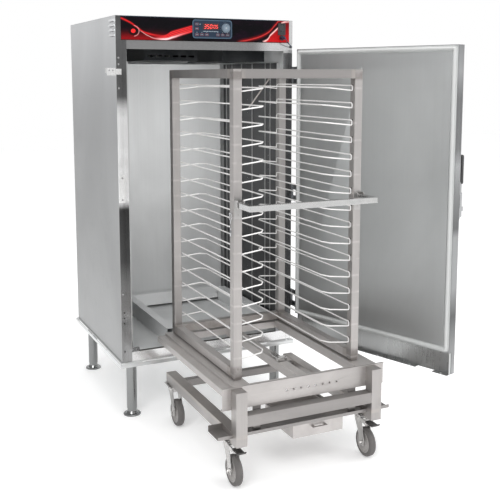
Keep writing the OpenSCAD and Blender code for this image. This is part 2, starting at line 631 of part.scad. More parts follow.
module fork_at(x, y, brake) {
    zc = tube_z - 16.4;
    place() translate([x, y, 0]) difference() {
        union() {
            translate([0, 0, zc - 14]) cylinder(r = 30, h = 14);
            for (s = [-22, 19]) translate([s, 0, 0]) yz_plate([[22, zc - 14], [22, zc - 3], [-30, zc - 3], [-trail - 22, 70],
                [-trail - 14, wheel_r - 14], [-trail + 14, wheel_r - 14], [-trail + 24, 90]], 0, 3);
            translate([0, -trail, wheel_r]) xcyl(6, -26, 26);
            for (s = [-27, 22]) translate([0, -trail, wheel_r]) xcyl(11, s, s + 5);
            if (brake) for (s = [-22, 17]) box([s, -66, zc - 22], [s + 5, -30, zc - 4]);
            if (brake) translate([0, -60, zc - 14]) xcyl(3, -22, 22);
        }
        translate([0, 0, zc - 30]) cylinder(r = 8.05, h = 40);
        translate([0, 0, zc - 30]) cylinder(r = 12.5, h = 16 + 14 - 14.4 + 0.9);
    }
}
module caster_fork_front_left() { color("silver") fork_at(cast_x[0], cast_y[0], true); }
module caster_fork_front_right() { color("silver") fork_at(cast_x[1], cast_y[0], true); }
module caster_fork_rear_left() { color("silver") fork_at(cast_x[0], cast_y[1], false); }
module caster_fork_rear_right() { color("silver") fork_at(cast_x[1], cast_y[1], false); }
module wheel_at(x, y) {
    h = wheel_w / 2;
    place() translate([x, y - trail, wheel_r]) rotate([0, 90, 0]) rotate_extrude($fn = 64)
        polygon([[6.06, -h - 1], [16, -h - 1], [18, -h + 5], [44, -h + 5], [48, -h], [wheel_r - 6, -h], [wheel_r - 1.6, -h + 3.5],
            [wheel_r, -h + 9], [wheel_r, h - 9], [wheel_r - 1.6, h - 3.5], [wheel_r - 6, h], [48, h], [44, h - 5], [18, h - 5], [16, h + 1], [6.06, h + 1]]);
}
module wheel_front_left() { color("gray") wheel_at(cast_x[0], cast_y[0]); }
module wheel_front_right() { color("gray") wheel_at(cast_x[1], cast_y[0]); }
module wheel_rear_left() { color("gray") wheel_at(cast_x[0], cast_y[1]); }
module wheel_rear_right() { color("gray") wheel_at(cast_x[1], cast_y[1]); }
module pedal_at(x) {
    zc = tube_z - 16.4;
    translate([x, cast_y[0], 0]) difference() {
        union() {
            translate([0, -60, zc - 14]) xcyl(6, -16.7, 16.7);
            box([-16.7, -112, zc - 17], [16.7, -60, zc - 11]);
            yz_plate([[-112, zc - 17], [-120, zc - 8], [-118, zc - 5], [-108, zc - 11]], -20, 20);
        }
        translate([0, -60, zc - 14]) xcyl(3.05, -30, 30);
    }
}
module brake_pedal_left() { color("black") place() pedal_at(cast_x[0]); }
module brake_pedal_right() { color("black") place() pedal_at(cast_x[1]); }

cabinet_left_side();
cabinet_right_side();
cabinet_back();
cabinet_top();
cabinet_base();
insulation();
inner_liner();
face_frame();
fascia_panel();
controller_housing();
display_window();
selector_dial();
fascia_fittings();
power_rocker();
probe_plug();
probe_lead();
strike_and_keeper();
legs();
rear_baffle();
side_ducts();
blower_housing();
blower_motor();
blower_wheel();
heater_element();
floor_rails();
frame_hinge_leaves();
fasteners();
door_outer_skin();
door_core();
door_inner_panel();
door_gasket();
door_skirt();
door_hinge_leaves();
latch_body();
latch_paddle();
latch_grip();
rack_posts();
rack_top_frame();
rack_base_frame();
wire_slides_left();
wire_slides_right();
handle_brackets();
push_handle();
deck_frame();
dolly_front_panel();
dolly_uprights();
dolly_cross_members();
deck_latch();
drip_pan();
caster_mounts();
caster_fork_front_left();
caster_fork_front_right();
caster_fork_rear_left();
caster_fork_rear_right();
wheel_front_left();
wheel_front_right();
wheel_rear_left();
wheel_rear_right();
brake_pedal_left();
brake_pedal_right();
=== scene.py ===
import math

import bpy
import bmesh
from mathutils import Matrix, Vector


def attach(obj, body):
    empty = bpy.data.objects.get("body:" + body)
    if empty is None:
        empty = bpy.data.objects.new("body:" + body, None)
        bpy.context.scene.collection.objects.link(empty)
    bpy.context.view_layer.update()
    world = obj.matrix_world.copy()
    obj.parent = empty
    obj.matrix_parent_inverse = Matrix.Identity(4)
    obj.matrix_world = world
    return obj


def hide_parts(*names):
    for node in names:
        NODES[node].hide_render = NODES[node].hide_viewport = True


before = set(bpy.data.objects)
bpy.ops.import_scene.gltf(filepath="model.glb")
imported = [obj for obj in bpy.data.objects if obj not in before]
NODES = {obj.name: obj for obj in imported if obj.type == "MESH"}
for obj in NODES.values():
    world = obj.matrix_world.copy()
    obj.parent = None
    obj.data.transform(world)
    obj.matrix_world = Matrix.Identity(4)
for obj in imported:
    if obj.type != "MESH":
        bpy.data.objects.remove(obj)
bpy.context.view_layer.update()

# ---------------------------------------------------------------------------
# places: cabinet millimetres -> row frame metres, and the same for the door
# drawn closed and turned open about its hinge pin
# ---------------------------------------------------------------------------
OX, OY = 648.645, -20.58
DOOR = math.radians(109.5)


def C(x, y, z):
    return Vector(((x - OX) / 1000, (y - OY) / 1000, z / 1000))


def D(x, y, z):
    dx, dy = x - 952, y + 34
    c, s = math.cos(DOOR), math.sin(DOOR)
    return C(952 + dx * c - dy * s, -34 + dx * s + dy * c, z)


# ---------------------------------------------------------------------------
# material helper
# ---------------------------------------------------------------------------
class Mat:
    def __init__(self, name):
        self.m = bpy.data.materials.new(name)
        self.m.use_nodes = True
        self.t = self.m.node_tree
        self.t.nodes.clear()
        out = self.t.nodes.new("ShaderNodeOutputMaterial")
        self.b = self.t.nodes.new("ShaderNodeBsdfPrincipled")
        self.t.links.new(self.b.outputs[0], out.inputs[0])
        self.co = self.t.nodes.new("ShaderNodeTexCoord").outputs["Object"]

    def put(self, sock, v):
        if isinstance(v, bpy.types.NodeSocket):
            self.t.links.new(v, sock)
        elif isinstance(v, (tuple, list)) and len(v) == 3 and sock.type == "RGBA":
            sock.default_value = (*v, 1)
        else:
            sock.default_value = v

    def node(self, kind, out=0, **kw):
        n = self.t.nodes.new(kind)
        for k, v in kw.items():
            if hasattr(n, k) and not k.startswith("i_"):
                setattr(n, k, v)
        return n

    def math(self, op, a, b=0.0, c=None, clamp=False):
        n = self.t.nodes.new("ShaderNodeMath")
        n.operation = op
        n.use_clamp = clamp
        self.put(n.inputs[0], a)
        self.put(n.inputs[1], b)
        if c is not None:
            self.put(n.inputs[2], c)
        return n.outputs[0]

    def sep(self, vec=None):
        n = self.t.nodes.new("ShaderNodeSeparateXYZ")
        self.put(n.inputs[0], vec or self.co)
        return n.outputs

    def noise(self, scale=(1, 1, 1), detail=3.0, rough=0.55, offset=(0, 0, 0), dist=0.0):
        mp = self.t.nodes.new("ShaderNodeMapping")
        self.put(mp.inputs["Vector"], self.co)
        mp.inputs["Scale"].default_value = scale
        mp.inputs["Location"].default_value = offset
        n = self.t.nodes.new("ShaderNodeTexNoise")
        self.put(n.inputs["Vector"], mp.outputs[0])
        n.inputs["Scale"].default_value = 1.0
        n.inputs["Detail"].default_value = detail
        n.inputs["Roughness"].default_value = rough
        n.inputs["Distortion"].default_value = dist
        return n.outputs[0]

    def mapr(self, v, a, b, c, d, smooth=False):
        n = self.t.nodes.new("ShaderNodeMapRange")
        n.interpolation_type = "SMOOTHSTEP" if smooth else "LINEAR"
        self.put(n.inputs[0], v)
        for i, x in enumerate((a, b, c, d)):
            self.put(n.inputs[i + 1], x)
        return n.outputs[0]

    def mix(self, fac, a, b, blend="MIX"):
        n = self.t.nodes.new("ShaderNodeMix")
        n.data_type = "RGBA"
        n.blend_type = blend
        n.clamp_result = False
        self.put(n.inputs[0], fac)
        self.put(n.inputs[6], a)
        self.put(n.inputs[7], b)
        return n.outputs[2]

    def ramp(self, fac, stops):
        n = self.t.nodes.new("ShaderNodeValToRGB")
        e = n.color_ramp.elements
        while len(e) < len(stops):
            e.new(0.5)
        for i, (p, col) in enumerate(stops):
            e[i].position = p
            e[i].color = (*col, 1)
        self.put(n.inputs[0], fac)
        return n.outputs[0]

    def curve(self, x, pts):
        n = self.t.nodes.new("ShaderNodeFloatCurve")
        cu = n.mapping.curves[0]
        while len(cu.points) < len(pts):
            cu.points.new(0.5, 0.5)
        for i, (px, py) in enumerate(pts):
            cu.points[i].location = (px, py)
            cu.points[i].handle_type = "AUTO"
        n.mapping.update()
        self.put(n.inputs[0], 1.0)
        self.put(n.inputs[1], x)
        return n.outputs[0]

    def band(self, v, centre, width):
        """1 inside |v - centre| < width, soft edge."""
        d = self.math("ABSOLUTE", self.math("SUBTRACT", v, centre))
        return self.mapr(d, width * 0.6, width, 1.0, 0.0, True)

    def glow(self, v, centre, width):
        d = self.math("DIVIDE", self.math("SUBTRACT", v, centre), width)
        return self.math("EXPONENT", self.math("MULTIPLY", self.math("MULTIPLY", d, d), -1.0))

    def bump(self, h, strength=0.2, dist=0.0005):
        n = self.t.nodes.new("ShaderNodeBump")
        n.inputs["Strength"].default_value = strength
        n.inputs["Distance"].default_value = dist
        self.put(n.inputs["Height"], h)
        self.t.links.new(n.outputs[0], self.b.inputs["Normal"])

    def set(self, **kw):
        names = dict(color="Base Color", metal="Metallic", rough="Roughness", spec="Specular IOR Level", coat="Coat Weight",
                     coatr="Coat Roughness", emis="Emission Color", emiss="Emission Strength", ior="IOR", aniso="Anisotropic",
                     sheen="Sheen Weight", trans="Transmission Weight")
        for k, v in kw.items():
            self.put(self.b.inputs[names[k]], v)
        return self


GRAIN = {"x": (6, 900, 900), "y": (900, 6, 900), "z": (900, 900, 6)}


def lerp3(a, k):
    return tuple(max(0.0, min(1.0, x * k)) for x in a)


def steel(name, col, rough=0.32, grain="z", var=0.07, smudge=0.10, scratch=0.03, dark=(), tint=(0.36, 0.33, 0.31), periodic=None, bumps=0.08,
          sm_scale=(2.4, 2.4, 1.2), seed=0.0, wear=0.05, metal=1.0, tone=None, axis=2, extra=None):
    """Brushed stainless: drawn-out grain along one axis, cloudy polish marks, faint long scratches and, where asked, weld tint."""
    g = Mat(name)
    fine = g.noise(GRAIN[grain], 4, 0.6, (seed, 0, 0))
    mid = g.noise(tuple(x * 0.16 for x in GRAIN[grain]), 3, 0.6, (0, seed, 0))
    cloud = g.noise(sm_scale, 4, 0.55, (seed, seed, 0), 0.6)
    patch = g.noise((14, 14, 14), 5, 0.65, (0, seed, seed), 0.8)
    f = g.math("ADD", g.math("MULTIPLY", fine, 0.45), g.math("MULTIPLY", mid, 0.55))
    c1 = g.mix(g.mapr(f, 0.25, 0.75, 0, 1), lerp3(col, 1 - var), lerp3(col, 1 + var))
    c2 = g.mix(g.mapr(cloud, 0.35, 0.68, 0, 1, True), lerp3((1, 1, 1), 1 - smudge), (1, 1, 1))
    c = g.mix(1.0, c1, c2, "MULTIPLY")
    # optional painted light and shade: a ramp of grey levels multiplied in along one axis
    if tone:
        lo, hi = tone[0][0], tone[-1][0]
        along = g.mapr(g.sep()[axis], lo, hi, 0.0, 1.0)
        c = g.mix(1.0, c, g.ramp(along, [((k - lo) / (hi - lo), (v, v, v)) for k, v in tone]), "MULTIPLY")
    # extra paints more light and shade where given (face frame, door edge)
    if extra:
        c = extra(g, c, f)
    sc = g.math("GREATER_THAN", mid, 0.74)
    c = g.mix(g.math("MULTIPLY", sc, scratch * 4), c, lerp3(col, 1.25))
    xyz = g.sep()
    if dark:
        tot = None
        for axis, at, w in dark:
            m = g.band(xyz["XYZ".index(axis)], at, w)
            tot = m if tot is None else g.math("MAXIMUM", tot, m)
        tot = g.math("MULTIPLY", tot, g.mapr(patch, 0.36, 0.56, 0.25, 1.0, True))
        c = g.mix(g.math("MULTIPLY", tot, 0.85), c, tint)
    if periodic:
        z0, step, w = periodic
        ph = g.math("ABSOLUTE", g.math("SUBTRACT", g.math("FRACT", g.math("DIVIDE", g.math("SUBTRACT", xyz[2], z0), step)), 0.5))
        mark = g.mapr(ph, 0.0, w / step, 1.0, 0.0, True)
        mark = g.math("MULTIPLY", mark, g.mapr(patch, 0.42, 0.62, 0.0, 0.7))
        c = g.mix(mark, c, lerp3(col, 1.22))
    r = g.math("ADD", g.mapr(f, 0.2, 0.8, rough - 0.05, rough + 0.05), g.mapr(cloud, 0.3, 0.7, 0.05, -0.04))
    r = g.math("ADD", r, g.mapr(patch, 0.55, 0.75, 0.0, wear))
    g.set(color=c, metal=metal, rough=g.math("MAXIMUM", r, 0.05))
    g.bump(f, bumps, 0.0003)
    return g.m


def plastic(name, col, rough=0.4, grain=420, var=0.12, coat=0.0, bumps=0.15, spec=0.5, dust=0.0):
    g = Mat(name)
    n = g.noise((grain,) * 3, 4, 0.6)
    big = g.noise((9, 9, 9), 4, 0.6, (3, 1, 2))
    f = g.math("ADD", g.math("MULTIPLY", n, 0.5), g.math("MULTIPLY", big, 0.5))
    c = g.mix(g.mapr(f, 0.3, 0.7, 0, 1), lerp3(col, 1 - var), lerp3(col, 1 + var))
    if dust:
        c = g.mix(g.mapr(big, 0.55, 0.75, 0, dust), c, (0.5, 0.49, 0.47))
    g.set(color=c, rough=g.mapr(f, 0.25, 0.75, rough - 0.07, rough + 0.09), spec=spec, coat=coat)
    g.bump(n, bumps, 0.0003)
    return g.m


COOL = (0.60, 0.61, 0.615)
WARM = (0.635, 0.605, 0.59)

# painted light and shade on the cabinet sides: darker low down, lighter towards the top
SIDE_PAINTED_SHADE = [(0.3, 0.46), (0.49, 0.43), (0.71, 0.44), (0.93, 0.48), (1.15, 0.54), (1.37, 0.63), (1.587, 0.80), (1.81, 1.08), (1.95, 1.24)]
# painted reflections on the polished left stile: dark and bright bands along its height
STILE_PAINTED_REFLECTIONS = [(0.30, 0.40), (0.62, 0.30), (0.72, 0.16), (0.80, 0.07), (1.06, 0.05), (1.10, 1.0), (1.50, 1.0), (1.545, 0.80), (1.60, 0.14), (1.80, 0.11), (1.90, 0.13), (1.98, 0.08)]


def door_edge_painted_bands(g, c, f):
    """The narrow edge on the latch side gets painted bands of light and shade along its height; the wide skin is scaled
    by an even 0.66.
    """
    x, y, z = g.sep()
    across = g.math("ADD", g.math("MULTIPLY", g.math("SUBTRACT", x, (952 - OX) / 1000), math.cos(DOOR)),
                    g.math("MULTIPLY", g.math("SUBTRACT", y, (-34 - OY) / 1000), math.sin(DOOR)))
    edge = g.math("LESS_THAN", across, (8 - 952) / 1000)
    lo, hi = EDGE_PAINTED_BANDS[0][0], EDGE_PAINTED_BANDS[-1][0]
    k = g.ramp(g.mapr(z, lo, hi, 0.0, 1.0), [((a - lo) / (hi - lo), (v, v, v)) for a, v in EDGE_PAINTED_BANDS])
    return g.mix(1.0, c, g.mix(edge, (0.66, 0.66, 0.66), k), "MULTIPLY")


def frame_painted_light(g, c, f):
    """Past the left stile the colour is replaced: the header is dark with a painted highlight towards its right end,
    the sill is painted light and the right stile is a flat dark grey; the left stile keeps its painted reflection
    bands.
    """
    x, y, z = g.sep()
    # painted highlight: the header grows lighter towards its right end
    header_painted_highlight = g.mapr(x, 0.06, 0.17, 0.24, 0.62, True)
    k = g.math("ADD", header_painted_highlight, g.math("MULTIPLY", g.math("SUBTRACT", f, 0.5), 0.06))
    # the sill is painted light; below the header the rest is a flat dark grey
    low = g.math("LESS_THAN", z, 0.3445)
    k = g.mix(low, g.mix(g.math("GREATER_THAN", z, 1.815), (0.20, 0.20, 0.205), k), (0.74, 0.74, 0.74))
    return g.mix(g.math("GREATER_THAN", x, (51 - OX) / 1000), c, k)


# painted light and shade along the door's latch-side edge, by height
EDGE_PAINTED_BANDS = [(0.34, 0.5), (0.50, 0.34), (0.62, 0.16), (0.75, 0.46), (0.98, 0.52), (1.02, 0.22), (1.20, 0.42), (1.30, 0.60), (1.38, 0.30), (1.60, 0.24), (1.72, 0.44), (1.84, 0.30)]
m_side = steel("cabinet_side_steel", (0.70, 0.71, 0.715), 0.36, "z", 0.03, 0.08, sm_scale=(1.2, 1.2, 0.7), tone=SIDE_PAINTED_SHADE)
m_top = steel("cabinet_top_steel", (0.58, 0.59, 0.595), 0.36, "x", 0.05, 0.10)
m_back = steel("cabinet_back_steel", (0.52, 0.53, 0.54), 0.42, "z", 0.05, 0.12)
m_lip = steel("base_lip_steel", (0.72, 0.73, 0.73), 0.34, "x", 0.05, 0.06)
m_frame = steel("frame_bright_steel", (0.95, 0.955, 0.955), 0.14, "z", 0.03, 0.08, bumps=0.04, tone=STILE_PAINTED_REFLECTIONS, metal=0.75, extra=frame_painted_light)
m_liner = steel("liner_satin_steel", (0.68, 0.69, 0.69), 0.45, "z", 0.04, 0.12, sm_scale=(3.4, 3.4, 1.6), seed=2.0, wear=0.08, metal=0.35)
# the baffle's height ramp is painted shade: darker lower down, lighter towards the top
m_baffle = steel("baffle_satin_steel", (0.74, 0.75, 0.75), 0.42, "z", 0.035, 0.12, sm_scale=(2.6, 2.6, 1.3), seed=3.0, wear=0.08, metal=0.30,
                 tone=[(0.4, 0.86), (0.9, 0.80), (1.3, 0.92), (1.77, 1.05)])
# the rails get a light, weakly metallic colour so that their shaded sides read lighter: painted light over the shade
m_rails = steel("rail_steel", (0.70, 0.71, 0.71), 0.42, "y", metal=0.25)
# the door pan's height ramp is painted light: lighter towards the top
m_door_in = steel("door_pan_steel", (0.56, 0.575, 0.575), 0.44, "z", 0.03, 0.10, sm_scale=(1.6, 1.6, 0.8), seed=5.0, wear=0.06,
                  tone=[(0.4, 0.98), (0.8, 0.94), (1.2, 0.97), (1.6, 1.18), (1.83, 1.30)])
m_door_out = steel("door_skin_steel", (0.66, 0.67, 0.68), 0.30, "z", 0.04, 0.08, seed=6.0, extra=door_edge_painted_bands)
m_skirt = steel("door_skirt_steel", (0.50, 0.51, 0.51), 0.28, "z", 0.05, 0.08, seed=7.0)
m_leg = steel("leg_polished_steel", (0.28, 0.285, 0.285), 0.14, "z", 0.05, 0.08, seed=8.0)
m_latch = steel("latch_chrome", (0.50, 0.51, 0.52), 0.10, "z", 0.03, 0.05, seed=1.0, bumps=0.02, wear=0.02)
m_strike = steel("strike_plate_steel", (0.88, 0.88, 0.87), 0.24, "z", 0.03, 0.05)
m_zinc = steel("zinc_plate", (0.58, 0.57, 0.56), 0.27, "z", 0.08, 0.16, sm_scale=(20, 20, 20), seed=4.0)
m_hinge = steel("hinge_steel", (0.40, 0.41, 0.42), 0.28, "z", 0.08, 0.14, sm_scale=(12, 12, 12), seed=9.0)
m_alu = steel("blower_alloy", (0.58, 0.58, 0.57), 0.34, "z", 0.08, 0.12, sm_scale=(12, 12, 12))
m_heater = steel("heater_sheath", (0.34, 0.25, 0.19), 0.42, "y", 0.18, 0.30, sm_scale=(16, 16, 16), seed=2.5)
m_rack = steel("rack_tube_steel", lerp3(WARM, 0.70), 0.36, "z", 0.05, 0.12, seed=1.5, sm_scale=(6, 6, 2.2), metal=0.8,
               dark=(("Z", 1.715, 0.042), ("Z", 0.447, 0.052)), tint=(0.23, 0.21, 0.20), periodic=(0.5275 + 0.0373, 0.0745, 0.008))
m_rack_x = steel("rack_rail_steel_x", lerp3(WARM, 0.50), 0.36, "x", 0.05, 0.12, seed=2.2, sm_scale=(3, 6, 6), metal=0.75,
                 dark=(("Y", -0.7374, 0.026), ("Y", -0.0664, 0.026), ("X", -0.3657, 0.022), ("X", 0.168, 0.022)))
m_rack_base = steel("rack_base_steel", lerp3(WARM, 0.80), 0.38, "y", 0.05, 0.12, seed=2.9, sm_scale=(6, 3, 6), metal=0.7,
                    dark=(("Y", -0.728, 0.03), ("Y", -0.076, 0.03)))
m_wire = steel("slide_wire_bright", (0.86, 0.85, 0.84), 0.42, "y", 0.03, 0.04, sm_scale=(20, 20, 20), seed=3.3, bumps=0.02, metal=0.35)
m_handle = steel("handle_tube_steel", (0.58, 0.58, 0.575), 0.22, "x", 0.06, 0.10, seed=3.7, sm_scale=(5, 8, 8))
m_bracket = steel("bracket_steel", (0.50, 0.49, 0.48), 0.30, "z", 0.07, 0.16, seed=4.4, sm_scale=(14, 14, 14))
m_deck = steel("deck_rail_steel", lerp3(WARM, 0.86), 0.42, "y", 0.05, 0.12, seed=4.9, sm_scale=(6, 2.4, 6), wear=0.1, metal=0.6)
m_panel = steel("dolly_panel_steel", lerp3(WARM, 0.76), 0.38, "x", 0.05, 0.12, seed=5.4, sm_scale=(2.6, 6, 6), wear=0.1, metal=0.8)
m_upright = steel("dolly_tube_steel", lerp3(WARM, 0.62), 0.36, "z", 0.06, 0.13, seed=5.9, sm_scale=(7, 2.5, 5), metal=0.75,
                  dark=(("Z", 0.238, 0.010), ("Y", -0.846, 0.010)), tint=(0.42, 0.39, 0.37))
m_cross = steel("dolly_cross_steel", lerp3(WARM, 0.50), 0.36, "x", 0.055, 0.13, seed=6.4, sm_scale=(2.4, 7, 7), metal=0.75)
m_pan = steel("drip_pan_steel", lerp3(WARM, 0.86), 0.38, "x", 0.05, 0.12, seed=6.9, sm_scale=(8, 8, 8), metal=0.8)
m_screw = steel("screw_steel", (0.38, 0.38, 0.38), 0.28, "z", 0.08, 0.15, sm_scale=(60, 60, 60))

m_black = plastic("black_moulding", (0.018, 0.018, 0.02), 0.34, 700, 0.25)
m_grip = plastic("grip_black_vinyl", (0.012, 0.012, 0.013), 0.46, 900, 0.25, bumps=0.3)
m_pedal = plastic("pedal_dark_plastic", (0.030, 0.028, 0.027), 0.48, 500, 0.3, dust=0.2)
m_cord = plastic("lead_dark_blue", (0.014, 0.026, 0.06), 0.42, 900, 0.25)
m_plug = plastic("plug_blue_black", (0.016, 0.026, 0.05), 0.34, 700, 0.25)
m_gasket = plastic("gasket_light_rubber", (0.54, 0.55, 0.545), 0.55, 500, 0.05, bumps=0.2)
m_tyre = plastic("wheel_grey_rubber", (0.115, 0.108, 0.105), 0.58, 380, 0.10, bumps=0.25, dust=0.12)
m_hub = plastic("wheel_hub_grey", (0.36, 0.345, 0.335), 0.40, 420, 0.08, dust=0.10)
m_foam = plastic("insulation_batt", (0.34, 0.33, 0.30), 0.95, 160, 0.25, bumps=0.8, spec=0.1)
m_motor = plastic("motor_paint_grey", (0.16, 0.165, 0.17), 0.45, 300, 0.15)


def duct_material():
    g = Mat("duct_dark_steel")
    x, y, z = g.sep()
    f = g.noise((700, 700, 5), 4, 0.6)
    cloud = g.noise((3, 3, 1.4), 4, 0.6, (2, 1, 0), 0.5)
    base = g.mix(g.mapr(g.math("ADD", g.math("MULTIPLY", f, 0.4), g.math("MULTIPLY", cloud, 0.6)), 0.3, 0.7, 0, 1), (0.055, 0.056, 0.058), (0.095, 0.096, 0.098))
    bright = g.mix(f, (0.42, 0.42, 0.42), (0.58, 0.58, 0.58))
    tot = None
    for yc in (0.1326, 0.1926, 0.3546, 0.4946, 0.6246, 0.7046):
        m = g.band(y, yc, 0.0058)
        tot = m if tot is None else g.math("MAXIMUM", tot, m)
    ends = g.math("MAXIMUM", g.math("LESS_THAN", y, 0.0640), g.math("GREATER_THAN", y, 0.7500))
    tot = g.math("MAXIMUM", tot, ends)
    g.set(color=g.mix(tot, base, bright), metal=g.mapr(tot, 0, 1, 0.75, 1.0), rough=g.mapr(cloud, 0.3, 0.7, 0.36, 0.48))
    g.bump(f, 0.08, 0.0003)
    return g.m


m_duct = duct_material()


def dark_box_material():
    g = Mat("blower_box_dark")
    f = g.noise((5, 500, 500), 4, 0.6)
    cloud = g.noise((7, 7, 7), 4, 0.6, (1, 5, 0), 0.6)
    g.set(color=g.mix(g.mapr(cloud, 0.35, 0.65, 0, 1), (0.008, 0.009, 0.010), (0.022, 0.023, 0.024)), metal=0.1,
          spec=0.05, rough=g.mapr(g.math("ADD", g.math("MULTIPLY", f, 0.5), g.math("MULTIPLY", cloud, 0.5)), 0.3, 0.7, 0.36, 0.52))
    g.bump(f, 0.08, 0.0003)
    return g.m


m_dark = dark_box_material()


def fascia_material():
    """Glossy black printed panel: a plain abstract sweep of red light on each side."""
    g = Mat("fascia_printed_gloss")
    x, y, z = g.sep()
    u = g.mapr(x, (25 - OX) / 1000, (914 - OX) / 1000, 0.0, 1.0)
    v = g.mapr(z, 1.868, 1.975, 0.0, 1.0)
    u.node.clamp = True
    v.node.clamp = False
    cloud = g.noise((7, 7, 11), 4, 0.6, (4, 0, 2), 0.8)
    red, hot = (0.62, 0.010, 0.014), (1.0, 0.42, 0.42)
    base = g.mix(g.mapr(cloud, 0.50, 0.78, 0, 0.8), (0.0022, 0.0016, 0.0028), (0.014, 0.0025, 0.012))

    def add(c, amount, col):
        return g.mix(g.math("MINIMUM", amount, 1.0), c, col)

    # left sweep: a thin line falls from the top left corner, then a wide ribbon climbs to the controller
    top_line = [(0.0, 0.92), (0.05, 0.74), (0.09, 0.52), (0.152, 0.27), (0.214, 0.21), (0.283, 0.42), (0.35, 0.58), (0.41, 0.72), (0.55, 1.0), (1.0, 1.0)]
    low_line = [(0.0, 0.60), (0.06, 0.50), (0.10, 0.40), (0.152, 0.17), (0.205, 0.045), (0.24, 0.04), (0.283, 0.12), (0.34, 0.27), (0.41, 0.45), (0.55, 0.9), (1.0, 1.0)]
    s1, s2 = g.curve(u, top_line), g.curve(u, low_line)
    left = g.mapr(u, 0.42, 0.46, 1.0, 0.0, True)
    low = g.math("MULTIPLY", g.glow(v, 0.0, 0.24), g.mapr(u, 0.36, 0.16, 0.0, 0.8, True))
    c = add(base, low, (0.27, 0.004, 0.006))
    rise = g.mapr(u, 0.17, 0.24, 0.0, 1.0, True)
    inside = g.math("MULTIPLY", g.mapr(g.math("SUBTRACT", s1, v), -0.02, 0.05, 0.0, 1.0, True), g.mapr(g.math("SUBTRACT", v, s2), -0.02, 0.04, 0.0, 1.0, True))
    lines = g.mapr(g.math("SINE", g.math("MULTIPLY", g.math("DIVIDE", g.math("SUBTRACT", v, s2), g.math("ADD", g.math("SUBTRACT", s1, s2), 0.02)), 27.0)), -1, 1, 0.35, 1.0)
    c = add(c, g.math("MULTIPLY", g.math("MULTIPLY", g.math("MULTIPLY", inside, rise), lines), left), (0.80, 0.030, 0.034))
    fall = g.mapr(u, 0.24, 0.16, 0.0, 1.0, True)
    c = add(c, g.math("MULTIPLY", g.math("MULTIPLY", g.glow(v, s1, 0.036), fall), 0.95), (0.62, 0.016, 0.018))
    c = add(c, g.math("MULTIPLY", g.math("MULTIPLY", g.glow(v, s2, 0.014), fall), g.mapr(u, 0.09, 0.13, 0.0, 0.8, True)), (0.85, 0.45, 0.44))
    edge = g.math("MULTIPLY", g.math("MULTIPLY", g.glow(v, s2, 0.040), rise), left)
    c = add(c, edge, g.mix(g.glow(u, 0.250, 0.070), (0.72, 0.030, 0.034), (1.0, 0.66, 0.68)))
    # round red lamp printed inside the first bend, with a thin curl round it
    dx = g.math("SUBTRACT", x, (84 - OX) / 1000)
    dz = g.math("SUBTRACT", z, 1.9085)
    rr = g.math("SQRT", g.math("ADD", g.math("MULTIPLY", dx, dx), g.math("MULTIPLY", g.math("MULTIPLY", dz, dz), 1.3)))
    curl = g.math("MULTIPLY", g.glow(rr, 0.0285, 0.0017), g.math("GREATER_THAN", dx, 0.004))
    c = add(c, g.mapr(rr, 0.026, 0.020, 0.0, 0.85, True), (0.006, 0.002, 0.003))
    c = add(c, g.math("MULTIPLY", curl, 0.8), (0.75, 0.30, 0.30))
    c = add(c, g.mapr(rr, 0.0122, 0.0100, 0.0, 1.0, True), (0.84, 0.022, 0.022))
    # right side: two rising streaks and a filled corner
    r1 = g.curve(u, [(0.0, 0.0), (0.66, 0.0), (0.694, 0.02), (0.77, 0.14), (0.848, 0.37), (0.918, 0.86), (0.94, 1.0), (1.0, 1.0)])
    r2 = g.curve(u, [(0.0, 0.0), (0.80, 0.0), (0.833, 0.02), (0.88, 0.33), (0.934, 0.71), (0.968, 0.96), (1.0, 1.0)])
    right = g.mapr(u, 0.66, 0.72, 0.0, 1.0, True)
    c = add(c, g.math("MULTIPLY", g.math("MULTIPLY", g.glow(v, r1, 0.075), right), 0.55), (0.34, 0.008, 0.010))
    c = add(c, g.math("MULTIPLY", g.math("MULTIPLY", g.glow(v, r1, 0.022), right), 0.75), (0.70, 0.050, 0.045))
    under = g.math("MULTIPLY", g.mapr(g.math("SUBTRACT", r2, v), 0.0, 0.06, 0.0, 1.0, True), g.mapr(u, 0.825, 0.85, 0.0, 1.0, True))
    c = add(c, g.math("MULTIPLY", under, g.mapr(v, 0.9, 0.1, 0.22, 0.90)), (0.52, 0.008, 0.010))
    c = add(c, g.math("MULTIPLY", g.glow(v, r2, 0.040), g.mapr(u, 0.825, 0.845, 0.0, 1.0, True)), (0.95, 0.50, 0.48))
    # folded top edge, dark blue
    top = g.math("GREATER_THAN", z, 1.9748)
    c = g.mix(top, c, g.mix(cloud, (0.010, 0.018, 0.028), (0.035, 0.055, 0.075)))
    # the printed colours are real print, and they are also fed to emission at low strength: a faint painted glow
    g.set(color=c, rough=g.mapr(cloud, 0.3, 0.7, 0.12, 0.20), spec=0.10, emis=c, emiss=0.05)
    fine = g.noise((260, 260, 260), 3, 0.5)
    g.bump(fine, 0.03, 0.0002)
    return g.m


m_fascia = fascia_material()


def controller_material():
    g = Mat("controller_slate_blue")
    x, y, z = g.sep()
    n = g.noise((500, 500, 500), 4, 0.6)
    big = g.noise((12, 12, 12), 4, 0.6)
    c = g.mix(g.mapr(g.math("ADD", g.math("MULTIPLY", n, 0.4), g.math("MULTIPLY", big, 0.6)), 0.3, 0.7, 0, 1), (0.012, 0.024, 0.044), (0.020, 0.035, 0.060))
    # the rim stands proud of the recessed overlay
    rim = g.math("LESS_THAN", y, (-9.5 - OY) / 1000)
    c = g.mix(rim, c, (0.060, 0.100, 0.145))
    g.set(color=c, rough=g.mapr(n, 0.3, 0.7, 0.34, 0.44), spec=0.2)
    g.bump(n, 0.12, 0.0002)
    return g.m


m_ctrl = controller_material()


